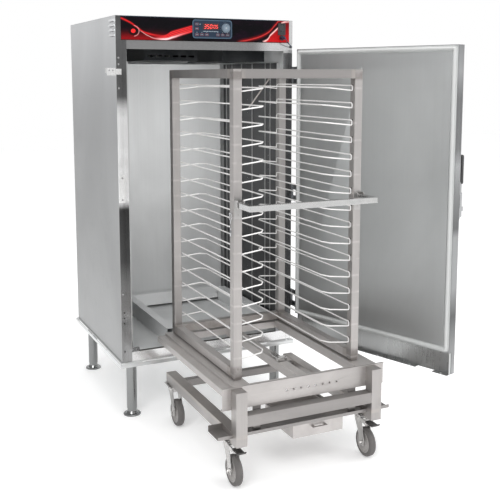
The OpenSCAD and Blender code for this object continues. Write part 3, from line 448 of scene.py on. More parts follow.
def dial_material():
    g = Mat("dial_light_slate")
    x, y, z = g.sep()
    dx = g.math("SUBTRACT", x, (556 - OX) / 1000)
    dz = g.math("SUBTRACT", z, 1.931)
    ang = g.math("ARCTAN2", dz, dx)
    rr = g.math("SQRT", g.math("ADD", g.math("MULTIPLY", dx, dx), g.math("MULTIPLY", dz, dz)))
    tick = g.mapr(g.math("SINE", g.math("MULTIPLY", ang, 24.0)), 0.2, 0.7, 0.0, 1.0, True)
    ring = g.math("MULTIPLY", tick, g.math("GREATER_THAN", rr, 0.0165))
    n = g.noise((600, 600, 600), 4, 0.6)
    c = g.mix(n, (0.13, 0.18, 0.23), (0.19, 0.24, 0.29))
    c = g.mix(ring, c, (0.05, 0.07, 0.10))
    c = g.mix(g.mapr(rr, 0.006, 0.004, 0, 1, True), c, (0.30, 0.34, 0.38))
    g.set(color=c, rough=g.mapr(n, 0.3, 0.7, 0.30, 0.42))
    g.bump(n, 0.1, 0.0002)
    return g.m


m_dial = dial_material()


def glass_material():
    g = Mat("display_dark_red")
    n = g.noise((30, 30, 30), 3, 0.5)
    g.set(color=g.mix(n, (0.030, 0.004, 0.006), (0.055, 0.007, 0.010)), rough=g.mapr(n, 0.3, 0.7, 0.08, 0.14), coat=0.5)
    return g.m


def lit_material(name, col, strength):
    g = Mat(name)
    n = g.noise((900, 900, 900), 2, 0.5)
    c = g.mix(n, lerp3(col, 0.85), col)
    g.set(color=c, rough=g.mapr(n, 0.3, 0.7, 0.3, 0.4), emis=c, emiss=strength)
    return g.m


m_glass = glass_material()
m_digit = lit_material("display_red_segments", (1.0, 0.06, 0.05), 1.6)
m_key = plastic("key_outline_red", (0.30, 0.045, 0.055), 0.4, 700, 0.15)
m_keyface = plastic("key_face_slate", (0.030, 0.050, 0.075), 0.36, 700, 0.15)
m_print = plastic("printed_light_legend", (0.42, 0.50, 0.56), 0.4, 700, 0.1)

LOOKS = {
    "cabinet_left_side": m_side, "cabinet_right_side": m_side, "cabinet_back": m_back, "cabinet_top": m_top, "cabinet_base": m_lip,
    "insulation": m_foam, "inner_liner": m_liner, "face_frame": m_frame, "fascia_panel": m_fascia, "controller_housing": m_ctrl,
    "display_window": m_glass, "selector_dial": m_dial, "fascia_fittings": m_black, "power_rocker": m_black, "probe_plug": m_plug,
    "probe_lead": m_cord, "strike_and_keeper": m_strike, "legs": m_leg, "rear_baffle": m_baffle, "side_ducts": m_duct,
    "blower_housing": m_dark, "blower_motor": m_motor, "blower_wheel": m_alu, "heater_element": m_heater, "floor_rails": m_rails,
    "frame_hinge_leaves": m_hinge, "fasteners": m_screw, "door_outer_skin": m_door_out, "door_core": m_foam, "door_inner_panel": m_door_in,
    "door_gasket": m_gasket, "door_skirt": m_skirt, "door_hinge_leaves": m_hinge, "latch_body": m_latch, "latch_paddle": m_latch,
    "latch_grip": m_grip, "rack_posts": m_rack, "rack_top_frame": m_rack_x, "rack_base_frame": m_rack_base, "wire_slides_left": m_wire,
    "wire_slides_right": m_wire, "handle_brackets": m_bracket, "push_handle": m_handle, "deck_frame": m_deck, "dolly_front_panel": m_panel,
    "dolly_uprights": m_upright, "dolly_cross_members": m_cross, "deck_latch": m_zinc, "drip_pan": m_pan, "caster_mounts": m_zinc,
    "brake_pedal_left": m_pedal, "brake_pedal_right": m_pedal,
}
for n in NODES:
    if n.startswith("caster_fork"):
        LOOKS[n] = m_zinc
    if n.startswith("wheel_"):
        LOOKS[n] = m_tyre

# edge rounding on the plain folded and welded nodes
BEVEL = {
    "cabinet_left_side": 0.6, "cabinet_right_side": 0.6, "cabinet_top": 0.6, "face_frame": 0.35, "fascia_panel": 0.5, "controller_housing": 0.6, "selector_dial": 0.7,
    "power_rocker": 0.5, "floor_rails": 1.2, "door_outer_skin": 0.6, "door_inner_panel": 0.6, "door_skirt": 0.3, "latch_body": 0.8, "latch_paddle": 0.8,
    "latch_grip": 2.2, "rack_posts": 2.0, "rack_top_frame": 1.6, "rack_base_frame": 1.8, "handle_brackets": 0.5, "push_handle": 1.6, "deck_frame": 0.8,
    "dolly_front_panel": 0.5, "dolly_uprights": 2.2, "dolly_cross_members": 0.6, "drip_pan": 0.5, "blower_housing": 0.6, "strike_and_keeper": 0.3,
    "brake_pedal_left": 1.5, "brake_pedal_right": 1.5, "caster_mounts": 0.6,
    "caster_fork_front_left": 0.5, "caster_fork_front_right": 0.5, "caster_fork_rear_left": 0.5, "caster_fork_rear_right": 0.5,
}
for name, o in NODES.items():
    o.data.materials.clear()
    o.data.materials.append(LOOKS[name])
    for p in o.data.polygons:
        p.material_index = 0
    if name in BEVEL:
        w = o.modifiers.new("weld", "WELD")
        w.merge_threshold = 0.00002
        b = o.modifiers.new("edge_round", "BEVEL")
        b.width = BEVEL[name] / 1000
        b.segments = 2
        b.limit_method = "ANGLE"
        b.angle_limit = math.radians(40)
        b.use_clamp_overlap = True
        b.harden_normals = False


# ---------------------------------------------------------------------------
# mesh building
# ---------------------------------------------------------------------------
def make(name, verts, faces, mat, body, smooth=True, angle=35):
    me = bpy.data.meshes.new(name)
    me.from_pydata([tuple(v) for v in verts], [], faces)
    me.validate()
    bm = bmesh.new()
    bm.from_mesh(me)
    bmesh.ops.recalc_face_normals(bm, faces=bm.faces)
    bm.to_mesh(me)
    bm.free()
    if smooth:
        for p in me.polygons:
            p.use_smooth = True
        me.set_sharp_from_angle(angle=math.radians(angle))
    o = bpy.data.objects.new(name, me)
    bpy.context.scene.collection.objects.link(o)
    mats = mat if isinstance(mat, (list, tuple)) else [mat]
    for m in mats:
        me.materials.append(m)
    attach(o, body)
    return o


class Bag:
    """Vertices and faces gathered for one piece."""

    def __init__(self):
        self.v, self.f = [], []

    def add(self, v, f):
        k = len(self.v)
        self.v += [Vector(p) for p in v]
        self.f += [tuple(i + k for i in q) for q in f]
        return self


def fillet(pts, r, n=4, closed=False):
    """Rounds the corners of a path."""
    pts = [Vector(p) for p in pts]
    out = []
    N = len(pts)
    for i, p in enumerate(pts):
        if not closed and i in (0, N - 1):
            out.append(p)
            continue
        a, b = pts[(i - 1) % N], pts[(i + 1) % N]
        da, db = (a - p), (b - p)
        la, lb = da.length, db.length
        da.normalize()
        db.normalize()
        ang = da.angle(db)
        if ang > math.pi - 0.05:
            out.append(p)
            continue
        t = min(r / math.tan(ang / 2), la * 0.45, lb * 0.45)
        p0, p1 = p + da * t, p + db * t
        for k in range(n + 1):
            s = k / n
            out.append(p0 * (1 - s) ** 2 + p * 2 * s * (1 - s) + p1 * s * s)
    return out


def sweep(path, r, seg=8, closed=False, section=None, up=None):
    """A tube, or a given section, along a path."""
    path = [Vector(p) for p in path]
    N = len(path)
    tang = []
    for i in range(N):
        if closed:
            d = path[(i + 1) % N] - path[(i - 1) % N]
        else:
            d = path[min(i + 1, N - 1)] - path[max(i - 1, 0)]
        tang.append(d.normalized())
    ref = Vector(up) if up is not None else (Vector((0, 0, 1)) if abs(tang[0].z) < 0.9 else Vector((0, 1, 0)))
    side = tang[0].cross(ref).normalized()
    rings = []
    for i in range(N):
        t = tang[i]
        if up is not None:
            side = t.cross(Vector(up)).normalized()
        else:
            side = (side - t * side.dot(t)).normalized()
        u = side.cross(t).normalized()
        sec = section or [(r * math.cos(2 * math.pi * k / seg), r * math.sin(2 * math.pi * k / seg)) for k in range(seg)]
        rings.append([path[i] + side * a + u * b for a, b in sec])
    S = len(rings[0])
    v = [p for ring in rings for p in ring]
    f = []
    for i in range(N if closed else N - 1):
        j = (i + 1) % N
        for k in range(S):
            l = (k + 1) % S
            f.append((i * S + k, i * S + l, j * S + l, j * S + k))
    if not closed:
        f.append(tuple(range(S))[::-1])
        f.append(tuple((N - 1) * S + k for k in range(S)))
    return v, f


def lathe(profile, origin, axis, seg=40, closed=False):
    """Turns (radius, along) about an axis through origin. Ends with radius 0 close."""
    axis = Vector(axis).normalized()
    a = axis.orthogonal().normalized()
    b = axis.cross(a)
    v, f = [], []
    idx = []
    for r, h in profile:
        if r < 1e-9:
            idx.append([len(v)])
            v.append(origin + axis * h)
        else:
            idx.append(list(range(len(v), len(v) + seg)))
            for k in range(seg):
                t = 2 * math.pi * k / seg
                v.append(origin + axis * h + (a * math.cos(t) + b * math.sin(t)) * r)
    M = len(profile)
    for i in range(M if closed else M - 1):
        p, q = idx[i], idx[(i + 1) % M]
        for k in range(seg):
            l = (k + 1) % seg
            if len(p) == 1 and len(q) == 1:
                continue
            if len(p) == 1:
                f.append((p[0], q[l], q[k]))
            elif len(q) == 1:
                f.append((p[k], p[l], q[0]))
            else:
                f.append((p[k], p[l], q[l], q[k]))
    return v, f


def plate(origin, ex, ey, ez, w, h, d, r=1.0, n=4, chamfer=0.25):
    """A rounded-corner plate w x h (mm) centred on origin in the ex, ey plane, d mm thick along ez, with a chamfered front edge."""
    ex, ey, ez = Vector(ex).normalized(), Vector(ey).normalized(), Vector(ez).normalized()

    def outline(inset):
        W, H, R = w / 2 - inset, h / 2 - inset, max(r - inset, 0.05)
        pts = []
        for cx, cy, a0 in ((W - R, H - R, 0), (-(W - R), H - R, 90), (-(W - R), -(H - R), 180), (W - R, -(H - R), 270)):
            for k in range(n + 1):
                t = math.radians(a0 + 90 * k / n)
                pts.append((cx + R * math.cos(t), cy + R * math.sin(t)))
        return pts

    ch = min(chamfer, d * 0.45)
    rings = [(0.0, 0.0), (0.0, d - ch), (ch, d)]
    v, f = [], []
    S = 4 * (n + 1)
    for inset, depth in rings:
        for a, b in outline(inset):
            v.append(origin + (ex * a + ey * b + ez * depth) / 1000)
    for i in range(len(rings) - 1):
        for k in range(S):
            l = (k + 1) % S
            f.append((i * S + k, i * S + l, (i + 1) * S + l, (i + 1) * S + k))
    f.append(tuple(range(S))[::-1])
    f.append(tuple((len(rings) - 1) * S + k for k in range(S)))
    return v, f


# ---- wire slides: a bent wire loop on each side at 16 levels ----------------
RX0, RX1, RY0, RY1, POST = 245.0, 855.0, -795.0, -50.0, 38.0
LEV0, PITCH, SLIDE_W = 527.5, 74.5, 126.0


def slide_side(name, right, node):
    bag = Bag()

    def P(x, y, z):
        return C(RX0 + RX1 - x if right else x, y, z)

    xi = RX0 + POST + 2.9
    xo = RX0 + POST + SLIDE_W - 3
    for i in range(16):
        z = LEV0 + i * PITCH + 3
        ya, yb = RY0 + 17, RY1 - 17
        loop = [P(xi, ya, z + 9), P(xi, ya, z - 12), P(xi + 6, ya, z - 12), P(xo - 22, ya + 6, z - 2), P(xo, ya + 40, z), P(xo, yb - 40, z),
                P(xo - 22, yb - 6, z - 2), P(xi + 6, yb, z - 12), P(xi, yb, z - 12), P(xi, yb, z + 9), P(xi + 4, yb - 22, z + 9), P(xi + 4, ya + 22, z + 9)]
        bag.add(*sweep(fillet(loop, 0.010, 4, True), 0.0030, 8, True))
    o = make(name, bag.v, bag.f, m_wire, "rack")
    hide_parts(node)
    return o


slide_side("wire_loops_left", False, "wire_slides_left")
slide_side("wire_loops_right", True, "wire_slides_right")

# slots and pressed lips that the loops hook into, on the faces of the posts that face inwards
m_slot = plastic("slot_shadow", (0.020, 0.019, 0.018), 0.7, 500, 0.3)
for side in (0, 1):
    slot_bag, lip_bag = Bag(), Bag()
    for y in (RY0 + 17, RY1 - 17):
        for i in range(16):
            z = LEV0 + i * PITCH + 1.5
            x = RX0 + POST if side == 0 else RX1 - POST
            e = 1 if side == 0 else -1
            slot_bag.add(*plate(C(x + e * 0.02, y, z + 1), (0, 1, 0), (0, 0, 1), (e, 0, 0), 9, 30, 0.25, 4.4))
            ring = [C(x + e * 0.35, y + a, z + 1 + b) for a, b in ((-5.2, -15.5), (5.2, -15.5), (5.2, 15.5), (-5.2, 15.5))]
            lip_bag.add(*sweep(fillet(ring, 0.0045, 4, True), 0.0007, 6, True))
    nm = ("left", "right")[side]
    make("slot_shadows_" + nm, slot_bag.v, slot_bag.f, m_slot, "rack")
    make("slot_lips_" + nm, lip_bag.v, lip_bag.f, m_rack, "rack")

# weld beads where rails meet posts
m_weld = steel("weld_bead", (0.44, 0.42, 0.41), 0.36, "z", 0.16, 0.28, sm_scale=(60, 60, 60), seed=7.7)


def bead(bag, a, b, r=1.5, wob=0.4, n=14):
    a, b = Vector(a), Vector(b)
    pts = [a.lerp(b, k / n) for k in range(n + 1)]
    v, f = sweep(pts, r / 1000, 6)
    out = []
    for k, p in enumerate(v):
        ring = k // 6
        c = pts[ring]
        s = 1 + 0.22 * math.sin(ring * 2.4 + a.x * 90)
        out.append(c + (p - c) * s)
    bag.add(out, f)


wb = Bag()
ztop, zlow, zlow2 = 1725 - POST, 482.0, 1725
for x0, x1, s in ((RX0, RX0 + POST, 1), (RX1 - POST, RX1, -1)):
    xin = x1 if s == 1 else x0
    for y in (RY0, RY1 - POST):
        # underside and outer corner of the cross rails (front and rear tubes run along X)
        bead(wb, C(xin, y + 2, ztop), C(xin, y + POST - 2, ztop))
        bead(wb, C(xin, y + 1, ztop + 2), C(xin, y + 1, 1723))
    for y, yy in ((RY0 + POST, 1), (RY1 - POST, -1)):
        bead(wb, C(x0 + 2, y, ztop), C(x1 - 2, y, ztop))
        bead(wb, C(x0 + 2, y, 478), C(x1 - 2, y, 478))
make("rack_weld_beads", wb.v, wb.f, m_weld, "rack")

wd = Bag()
for x in (200, 850):
    for dx in (0, 50):
        bead(wd, C(x + dx, -868.4, 342), C(x + dx, -868.4, 418), 1.8)
    xin = x + 50 if x < 500 else x
    bead(wd, C(xin, -913, 324), C(xin, -871, 324), 1.8)
    bead(wd, C(xin, -916, 278), C(xin, -916, 322), 1.8)
make("dolly_weld_beads", wd.v, wd.f, m_weld, "dolly")


# ---- screws: domed heads with a cross recess in place of the plain discs ----
def islands(o):
    me = o.data
    key = {}
    ids = []
    for v in me.vertices:
        k = tuple(round(c, 5) for c in v.co)
        ids.append(key.setdefault(k, len(key)))
    par = list(range(len(key)))

    def find(a):
        while par[a] != a:
            par[a] = par[par[a]]
            a = par[a]
        return a

    for e in me.edges:
        a, b = find(ids[e.vertices[0]]), find(ids[e.vertices[1]])
        if a != b:
            par[a] = b
    groups = {}
    for k, i in key.items():
        groups.setdefault(find(i), []).append(Vector(k))
    return [g for g in groups.values()]


def screw_head(bag, c, out, r, h):
    """A low dome with a cross recess and a chamfered washer rim."""
    out = Vector(out).normalized()
    a = out.orthogonal().normalized()
    b = out.cross(a)
    prof = [(r, 0), (r, h * 0.35), (r * 0.93, h * 0.62), (r * 0.72, h * 0.90), (r * 0.50, h), (r * 0.40, h)]
    v, f = lathe(prof, c, out, 24)
    bag.add(v, f)
    # recess: a sunken cross inside the flat centre
    n = 24
    ring = []
    for k in range(n):
        t = 2 * math.pi * k / n
        ring.append(c + out * h + (a * math.cos(t) + b * math.sin(t)) * r * 0.40)
    w, l = r * 0.11, r * 0.34
    cross = [(l, w), (w, w), (w, l), (-w, l), (-w, w), (-l, w), (-l, -w), (-w, -w), (-w, -l), (w, -l), (w, -w), (l, -w)]
    k0 = len(ring)
    vs = list(ring) + [c + out * h + a * x + b * y for x, y in cross] + [c + out * h * 0.45 + a * x * 0.9 + b * y * 0.9 for x, y in cross]
    fs = []
    # bridge the 24-gon to the 12-point cross, two rim points for each cross point
    ang = [math.atan2(y, x) % (2 * math.pi) for x, y in cross]
    order = sorted(range(12), key=lambda i: ang[i])
    near = []
    for j in range(n):
        t = 2 * math.pi * j / n
        best = min(range(12), key=lambda i: abs(math.atan2(math.sin(ang[order[i]] - t), math.cos(ang[order[i]] - t))))
        near.append(best)
    for j in range(n):
        m = (j + 1) % n
        p, q = near[j], near[m]
        if p == q:
            fs.append((j, m, k0 + order[p]))
        else:
            fs.append((j, m, k0 + order[q], k0 + order[p]))
    for i in range(12):
        p, q = order[i], order[(i + 1) % 12]
        fs.append((k0 + p, k0 + q, k0 + 12 + q, k0 + 12 + p))
    fs.append(tuple(k0 + 12 + p for p in order))
    bag.add(vs, fs)


sb = Bag()
for g in islands(NODES["fasteners"]):
    lo = Vector([min(p[i] for p in g) for i in range(3)])
    hi = Vector([max(p[i] for p in g) for i in range(3)])
    c = (lo + hi) / 2
    r = (hi.x - lo.x) / 2
    front = c.y < 0.5
    if front:
        screw_head(sb, Vector((c.x, hi.y, c.z)), (0, -1, 0), r, hi.y - lo.y)
    else:
        screw_head(sb, Vector((c.x, lo.y, c.z)), (0, 1, 0), r, hi.y - lo.y)
scr = make("cross_head_screws", sb.v, sb.f, m_screw, "cabinet")
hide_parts("fasteners")

# ---- door gasket: a hollow bulb seal, drawn closed and swung open -----------
gx0, gx1, gz0, gz1 = 6.0, 940.0, 451.0, 1829.0
gw = 24.0
mid = [(gx0 + gw / 2, gz0 + gw / 2), (gx1 - gw / 2, gz0 + gw / 2), (gx1 - gw / 2, gz1 - gw / 2), (gx0 + gw / 2, gz1 - gw / 2)]


def gasket():
    # section: (across, out from the door); flat base, two ribs and a round bulb
    sec = [(-12, 0.0), (-12, 2.2), (-10.8, 3.4), (-9.2, 3.4), (-8.3, 2.6), (-7.6, 5.0), (-6.2, 9.0), (-3.6, 12.6), (0, 14.2), (3.6, 12.6), (6.2, 9.0),
           (7.6, 5.0), (8.3, 2.6), (9.2, 3.4), (10.8, 3.4), (12, 2.2), (12, 0.0)]
    v, f = [], []
    corners = []
    for (x, z), (sx, sz) in zip(mid, ((-1, -1), (1, -1), (1, 1), (-1, 1))):
        # mitred corner rounded by three sub steps
        corners.append((x, z, sx, sz))
    rings = []
    R = 7.0
    for x, z, sx, sz in corners:
        # centre line arc about a point R inside the corner
        cx, cz = x - sx * R, z - sz * R
        a0 = math.atan2(sz, 0) if False else None
        start = {(-1, -1): 180, (1, -1): 270, (1, 1): 0, (-1, 1): 90}[(sx, sz)]
        for k in range(5):
            t = math.radians(start + 90 * k / 4)
            rings.append((cx, cz, math.cos(t), math.sin(t)))
    N, S = len(rings), len(sec)
    for cx, cz, ca, sa in rings:
        for a, d in sec:
            rr = R + a
            if rr < 0:
                # inner side of the bend: the signs worked out here go unused, so it takes the same arc formula as the
                # outer side
                sgx, sgz = (1 if ca >= 0 else -1), (1 if sa >= 0 else -1)
                if abs(ca) < 1e-6:
                    sgx = 0
                if abs(sa) < 1e-6:
                    sgz = 0
                px, pz = cx + ca * rr, cz + sa * rr
            else:
                px, pz = cx + ca * rr, cz + sa * rr
            v.append(D(px, -16.3 + d, pz))
    for i in range(N):
        j = (i + 1) % N
        for k in range(S):
            l = (k + 1) % S
            f.append((i * S + k, i * S + l, j * S + l, j * S + k))
    o = make("bulb_gasket", v, f, m_gasket, "door", True, 50)
    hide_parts("door_gasket")


gasket()


# ---- wheels: rubber tyre on a moulded hub -----------------------------------
def wheel(tag, x, y):
    c = C(x, y, 65)
    body = "wheel_" + tag
    # tyre
    t = [(48.2, -15.2), (50, -15.8), (58, -15.6), (62.2, -13.2), (64.2, -10), (65, -6.5), (65, -2.2), (64.3, -1.6), (64.3, 1.6), (65, 2.2), (65, 6.5), (64.2, 10),
         (62.2, 13.2), (58, 15.6), (50, 15.8), (48.2, 15.2), (47.5, 13.5), (47.5, -13.5)]
    v, f = lathe([(r / 1000, h / 1000) for r, h in t], c, (1, 0, 0), 72, True)
    o = make("tyre_" + tag, v, f, m_tyre, body)
    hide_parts("wheel_" + tag)
    # hub: rim, dished web with raised ring, boss
    h = [(6.2, -17), (14.5, -17), (16, -16), (17.5, -12), (20, -10.2), (30, -9.2), (31, -10.6), (34.5, -10.6), (35.5, -9.2), (42, -10.6), (44.5, -14.2), (46.6, -15.2), (48.1, -14.6),
         (48.1, 14.6), (46.6, 15.2), (44.5, 14.2), (42, 10.6), (35.5, 9.2), (34.5, 10.6), (31, 10.6), (30, 9.2), (20, 10.2), (17.5, 12), (16, 16), (14.5, 17), (6.2, 17)]
    v, f = lathe([(r / 1000, a / 1000) for r, a in h], c, (1, 0, 0), 72, True)
    bag = Bag().add(v, f)
    # stiffening ribs on the web
    for s in (-1, 1):
        for k in range(8):
            t0 = 2 * math.pi * k / 8 + 0.2
            d = Vector((0, math.cos(t0), math.sin(t0)))
            n = Vector((0, -math.sin(t0), math.cos(t0)))
            o1 = c + d * 0.0305 + Vector((s * 0.0086, 0, 0))
            bag.add(*plate(o1, d, n, (s, 0, 0), 24, 3.2, 2.6, 1.2, 3, 0.8))
    make("hub_" + tag, bag.v, bag.f, m_hub, body)


for tag, x, y in (("front_left", 225, -840), ("front_right", 875, -840), ("rear_left", 225, -165), ("rear_right", 875, -165)):
    wheel(tag, x, y)

# hexagon nuts and thread ends on the caster axles
for tag, x, y in (("front_left", 225, -840), ("front_right", 875, -840), ("rear_left", 225, -165), ("rear_right", 875, -165)):
    bag = Bag()
    for s in (-1, 1):
        prof = [(8.2, 0), (8.8, 0.8), (8.8, 5.2), (8.2, 6), (4.4, 6), (4.4, 7.6), (3.8, 8.2), (0, 8.2)]
        bag.add(*lathe([(r / 1000, h / 1000) for r, h in prof], C(x + s * 26.6, y, 65), (s, 0, 0), 6))
    make("axle_nuts_" + tag, bag.v, bag.f, m_zinc, "fork_" + tag, False)

# ball race ring and grease shield under each caster plate
for tag, x, y in (("front_left", 225, -800), ("front_right", 875, -800), ("rear_left", 225, -125), ("rear_right", 875, -125)):
    prof = [(30.3, -15.6), (33.5, -14.0), (34.5, -10.5), (34.0, -7.0), (31.5, -4.6), (30.3, -4.6)]
    v, f = lathe([(r / 1000, h / 1000) for r, h in prof], C(x, y, 195), (0, 0, 1), 48, True)
    make("race_ring_" + tag, v, f, m_zinc, "dolly")

# ---- controller overlay: keys, segment digits, legends ----------------------
FRONT = (0, -1, 0)
kb, kf, kd, lg = Bag(), Bag(), Bag(), Bag()
keys = [(405, 1948), (405, 1926)] + [(405 + 26 * i, 1898) for i in range(3)] + [(516 + 26 * i, 1898) for i in range(3)]
for x, z in keys:
    ring = [C(x + a, -9.15, z + b) for a, b in ((-9, -5), (9, -5), (9, 5), (-9, 5))]
    kb.add(*sweep(fillet(ring, 0.002, 3, True), 0.00055, 6, True))
    kf.add(*plate(C(x, -9.02, z), (1, 0, 0), (0, 0, 1), FRONT, 16.6, 8.6, 0.35, 1.6))
    for k in range(3):
        lg.add(*plate(C(x - 4 + 4 * k, -9.36, z + (0.6 if k % 2 else 0)), (1, 0, 0), (0, 0, 1), FRONT, 2.6, 2.0, 0.1, 0.5, 2, 0.03))
for x, z in keys[2:]:
    lg.add(*lathe([(0.0016, 0), (0.0016, 0.0003), (0.0010, 0.0006), (0, 0.0006)], C(x, -9.02, z + 11), FRONT, 14))
make("key_outlines", kb.v, kb.f, m_key, "cabinet")
make("key_faces", kf.v, kf.f, m_keyface, "cabinet")

SEG = {"0": "abcdef", "3": "abcdg", "5": "acdfg", "8": "abcdefg", "1": "bc"}


def digit(bag, x, z, ch, w=9.6, h=19.0, t=1.9, lean=0.10):
    g = t * 0.35
    W, H = w / 2, h / 2
    segs = {
        "a": ((-W + g, H), (W - g, H)), "g": ((-W + g, 0), (W - g, 0)), "d": ((-W + g, -H), (W - g, -H)),
        "f": ((-W, g), (-W, H - g)), "b": ((W, g), (W, H - g)), "e": ((-W, -H + g), (-W, -g)), "c": ((W, -H + g), (W, -g)),
    }
    for s in SEG[ch]:
        (x0, z0), (x1, z1) = segs[s]
        d = Vector((x1 - x0, z1 - z0)).normalized()
        nrm = Vector((-d.y, d.x))
        a, b = Vector((x0, z0)), Vector((x1, z1))
        out = [a, a + d * t / 2 + nrm * t / 2, b - d * t / 2 + nrm * t / 2, b, b - d * t / 2 - nrm * t / 2, a + d * t / 2 - nrm * t / 2]
        v = [C(x + p.x + lean * p.y, -9.75, z + p.y) for p in out] + [C(x + p.x + lean * p.y, -9.55, z + p.y) for p in out]
        f = [(0, 1, 2, 3, 4, 5), (11, 10, 9, 8, 7, 6)] + [(k, (k + 1) % 6, (k + 1) % 6 + 6, k + 6) for k in range(6)]
        bag.add(v, f)


for i, ch in enumerate("350"):
    digit(kd, 449 + 15.5 * i, 1937.5, ch)
for z in (1933, 1942):
    kd.add(*lathe([(0.0011, 0), (0.0011, 0.0002), (0, 0.0003)], C(490.5, -9.5, z), FRONT, 12))
for i, ch in enumerate("05"):
    digit(kd, 498.5 + 13.0 * i, 1937.5, ch, 8.2, 15.0, 1.6)
make("segment_digits", kd.v, kd.f, m_digit, "cabinet", False)
for i in range(9):
    lg.add(*plate(C(443 + 9 * i, -9.04, 1914), (1, 0, 0), (0, 0, 1), FRONT, 6 if i % 3 else 7.5, 2.4, 0.12, 0.6, 2, 0.03))
lg.add(*lathe([(0.0022, 0), (0.0022, 0.0005), (0.0014, 0.001), (0, 0.001)], C(422, -9.02, 1948), FRONT, 16))
make("overlay_legends", lg.v, lg.f, m_print, "cabinet", False)
# printed ticks round the dial
tk = Bag()
for k in range(21):
    t = math.radians(-60 + 15 * k)
    d = Vector((math.cos(t), 0, math.sin(t)))
    n = Vector((-math.sin(t), 0, math.cos(t)))
    tk.add(*plate(C(556, -9.03, 1931) + d * 0.0263, d, n, FRONT, 3.4 if k % 5 == 0 else 2.2, 0.8, 0.12, 0.3, 2, 0.03))
make("dial_ticks", tk.v, tk.f, m_print, "cabinet", False)
ln = Bag().add(*plate(C(556, -20.03, 1948) + Vector((0, 0, 0)), (1, 0, 0), (0, 0, 1), FRONT, 1.8, 5.5, 0.15, 0.7, 3, 0.05))
make("dial_pointer", ln.v, ln.f, m_print, "dial", False)

# ---- pull ring pin hanging at the left handle bracket -----------------------
pb = Bag()
px, py, pz = RX0 - 8, RY0 + 13, 1140.0
pb.add(*lathe([(0.0, 0), (0.0042, 0.0006), (0.0046, 0.003), (0.0046, 0.006), (0.0030, 0.007), (0.0030, 0.0138), (0, 0.0138)], C(RX0 - 14, py, pz), (1, 0, 0), 24))
ring = [C(px, py + 11 * math.cos(2 * math.pi * k / 28), pz - 15.8 + 13 * math.sin(2 * math.pi * k / 28)) for k in range(28)]
pb.add(*sweep(ring, 0.0014, 8, True))
pb.add(*sweep(fillet([C(px + 1, py, pz - 28.8), C(px, py + 2, pz - 44), C(px, py - 4, pz - 58), C(px, py - 2, pz - 70)], 0.01, 4), 0.0016, 8))
pb.add(*lathe([(0, 0), (0.0034, 0.001), (0.0038, 0.006), (0.0038, 0.022), (0.0026, 0.026), (0, 0.026)], C(px, py - 2, pz - 94), (0, 0, 1), 20))
make("hanging_lock_pin", pb.v, pb.f, m_latch, "rack")

# rolled rims round the holes of the dolly's front panel
rb = Bag()
for i in range(8):
    c = C(455 + i * 35, -868.1, 384)
    rb.add(*lathe([(r / 1000, h / 1000) for r, h in ((4.1, 0), (6.6, 0), (6.4, 0.5), (5.4, 0.9), (4.3, 0.6))], c, FRONT, 28, True))
make("panel_hole_rims", rb.v, rb.f, m_panel, "dolly")

# pressed round buttons along the deck rails, three on each side
fb = Bag()
for x in (252.0, RX0 + RX1 - 252.0):
    for i in range(3):
        y = -720 + i * 230
        fb.add(*lathe([(0.0055, 0), (0.0055, 0.0006), (0.0040, 0.0014), (0, 0.0017)], C(228 if x < 500 else RX0 + RX1 - 228, y, 432), (0, 0, 1), 20))
make("deck_button_rivets", fb.v, fb.f, m_deck, "dolly")

# ---------------------------------------------------------------------------
# stage
# ---------------------------------------------------------------------------
fm = Mat("studio_floor")
nz = fm.noise((3, 3, 3), 3, 0.5)
fm.set(color=fm.mix(nz, (0.93, 0.93, 0.93), (0.95, 0.95, 0.95)), rough=fm.mapr(nz, 0.3, 0.7, 0.85, 0.95), spec=0.1, emis=(1, 1, 1), emiss=0.22)
v, f = [], []
rows = 24
prof = [(-14.0, 0.0), (7.0, 0.0)] + [(7.0 + 5.0 * math.sin(math.radians(90 * k / rows)), 5.0 - 5.0 * math.cos(math.radians(90 * k / rows))) for k in range(1, rows + 1)] + [(12.0, 14.0)]
floor_v, floor_f = [], []
for y, z in [(-16, 0), (16, 0)]:
    floor_v += [(-16, y, -0.0002), (16, y, -0.0002)]
floor_f.append((0, 1, 3, 2))
me = bpy.data.meshes.new("floor")
me.from_pydata(floor_v, [], floor_f)
floor = bpy.data.objects.new("floor", me)
bpy.context.scene.collection.objects.link(floor)
me.materials.append(fm.m)

w = bpy.data.worlds.new("studio")
bpy.context.scene.world = w
w.use_nodes = True
nt = w.node_tree
nt.nodes.clear()
wo = nt.nodes.new("ShaderNodeOutputWorld")
bg = nt.nodes.new("ShaderNodeBackground")
bg.inputs[1].default_value = 1.0
tc = nt.nodes.new("ShaderNodeTexCoord")
sp = nt.nodes.new("ShaderNodeSeparateXYZ")
nt.links.new(tc.outputs["Generated"], sp.inputs[0])
rp = nt.nodes.new("ShaderNodeValToRGB")
e = rp.color_ramp.elements
e[0].position, e[0].color = 0.0, (0.84, 0.84, 0.85, 1)
e[1].position, e[1].color = 0.55, (1.0, 1.0, 1.0, 1)
nt.links.new(sp.outputs[2], rp.inputs[0])
bg2 = nt.nodes.new("ShaderNodeBackground")
bg2.inputs[0].default_value = (1, 1, 1, 1)
bg2.inputs[1].default_value = 1.0
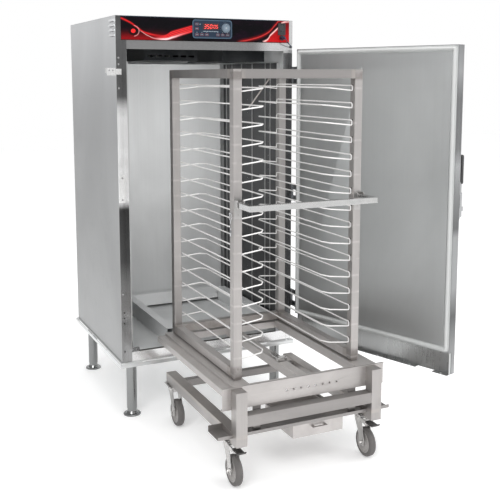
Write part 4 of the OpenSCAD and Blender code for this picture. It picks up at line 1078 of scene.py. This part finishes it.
# the studio is darker to the left of the cabinet, so faces turned that way read a shade deeper
mr = nt.nodes.new("ShaderNodeMapRange")
mr.interpolation_type = "SMOOTHSTEP"
nt.links.new(sp.outputs[0], mr.inputs[0])
for k, val in enumerate((-0.60, -0.05, 0.45, 1.0)):
    mr.inputs[k + 1].default_value = val
vm = nt.nodes.new("ShaderNodeVectorMath")
vm.operation = "SCALE"
nt.links.new(rp.outputs[0], vm.inputs[0])
nt.links.new(mr.outputs[0], vm.inputs["Scale"])
nt.links.new(vm.outputs[0], bg.inputs[0])
lp = nt.nodes.new("ShaderNodeLightPath")
mx = nt.nodes.new("ShaderNodeMixShader")
nt.links.new(lp.outputs["Is Camera Ray"], mx.inputs[0])
nt.links.new(bg.outputs[0], mx.inputs[1])
nt.links.new(bg2.outputs[0], mx.inputs[2])
nt.links.new(mx.outputs[0], wo.inputs[0])


def area(name, loc, target, size, power, col=(1, 1, 1)):
    l = bpy.data.lights.new(name, "AREA")
    l.shape = "RECTANGLE"
    l.size, l.size_y = size
    l.energy = power
    l.color = col
    o = bpy.data.objects.new(name, l)
    bpy.context.scene.collection.objects.link(o)
    o.location = loc
    o.rotation_euler = (Vector(target) - Vector(loc)).to_track_quat("-Z", "Y").to_euler()
    return o


area("key", (-3.2, -3.6, 4.2), (0, 0, 1.0), (2.6, 2.6), 120)
area("fill_right", (4.2, -3.2, 2.6), (0.3, 0, 1.0), (2.4, 3.0), 60)
area("top", (0.2, -0.4, 5.2), (0.1, 0, 0.8), (3.5, 3.5), 90)
# soft fill just inside the opening, turned towards the back wall
inside = area("compartment_fill", C(468, 30, 1330), C(468, 800, 1330), (0.70, 0.85), 4.6)
inside.visible_camera = False
inside.visible_glossy = False


scene = bpy.context.scene
scene.view_settings.view_transform = "Standard"
scene.view_settings.look = "None"
scene.view_settings.exposure = 0.0
scene.view_settings.gamma = 1.0

cam_data = bpy.data.cameras.new("cam")
cam = bpy.data.objects.new("cam", cam_data)
scene.collection.objects.link(cam)
cam.location = (-1.7847, -3.8518, 1.6927)
cam.rotation_euler = (math.radians(90 - 7.5), 0, math.radians(-25.31))
cam_data.sensor_width = 36.0
cam_data.lens = 839.32 / 500 * 36
cam_data.shift_x = 0.0
cam_data.shift_y = -0.125
cam_data.clip_start, cam_data.clip_end = 0.05, 60
cam_data.dof.use_dof = False
scene.camera = cam
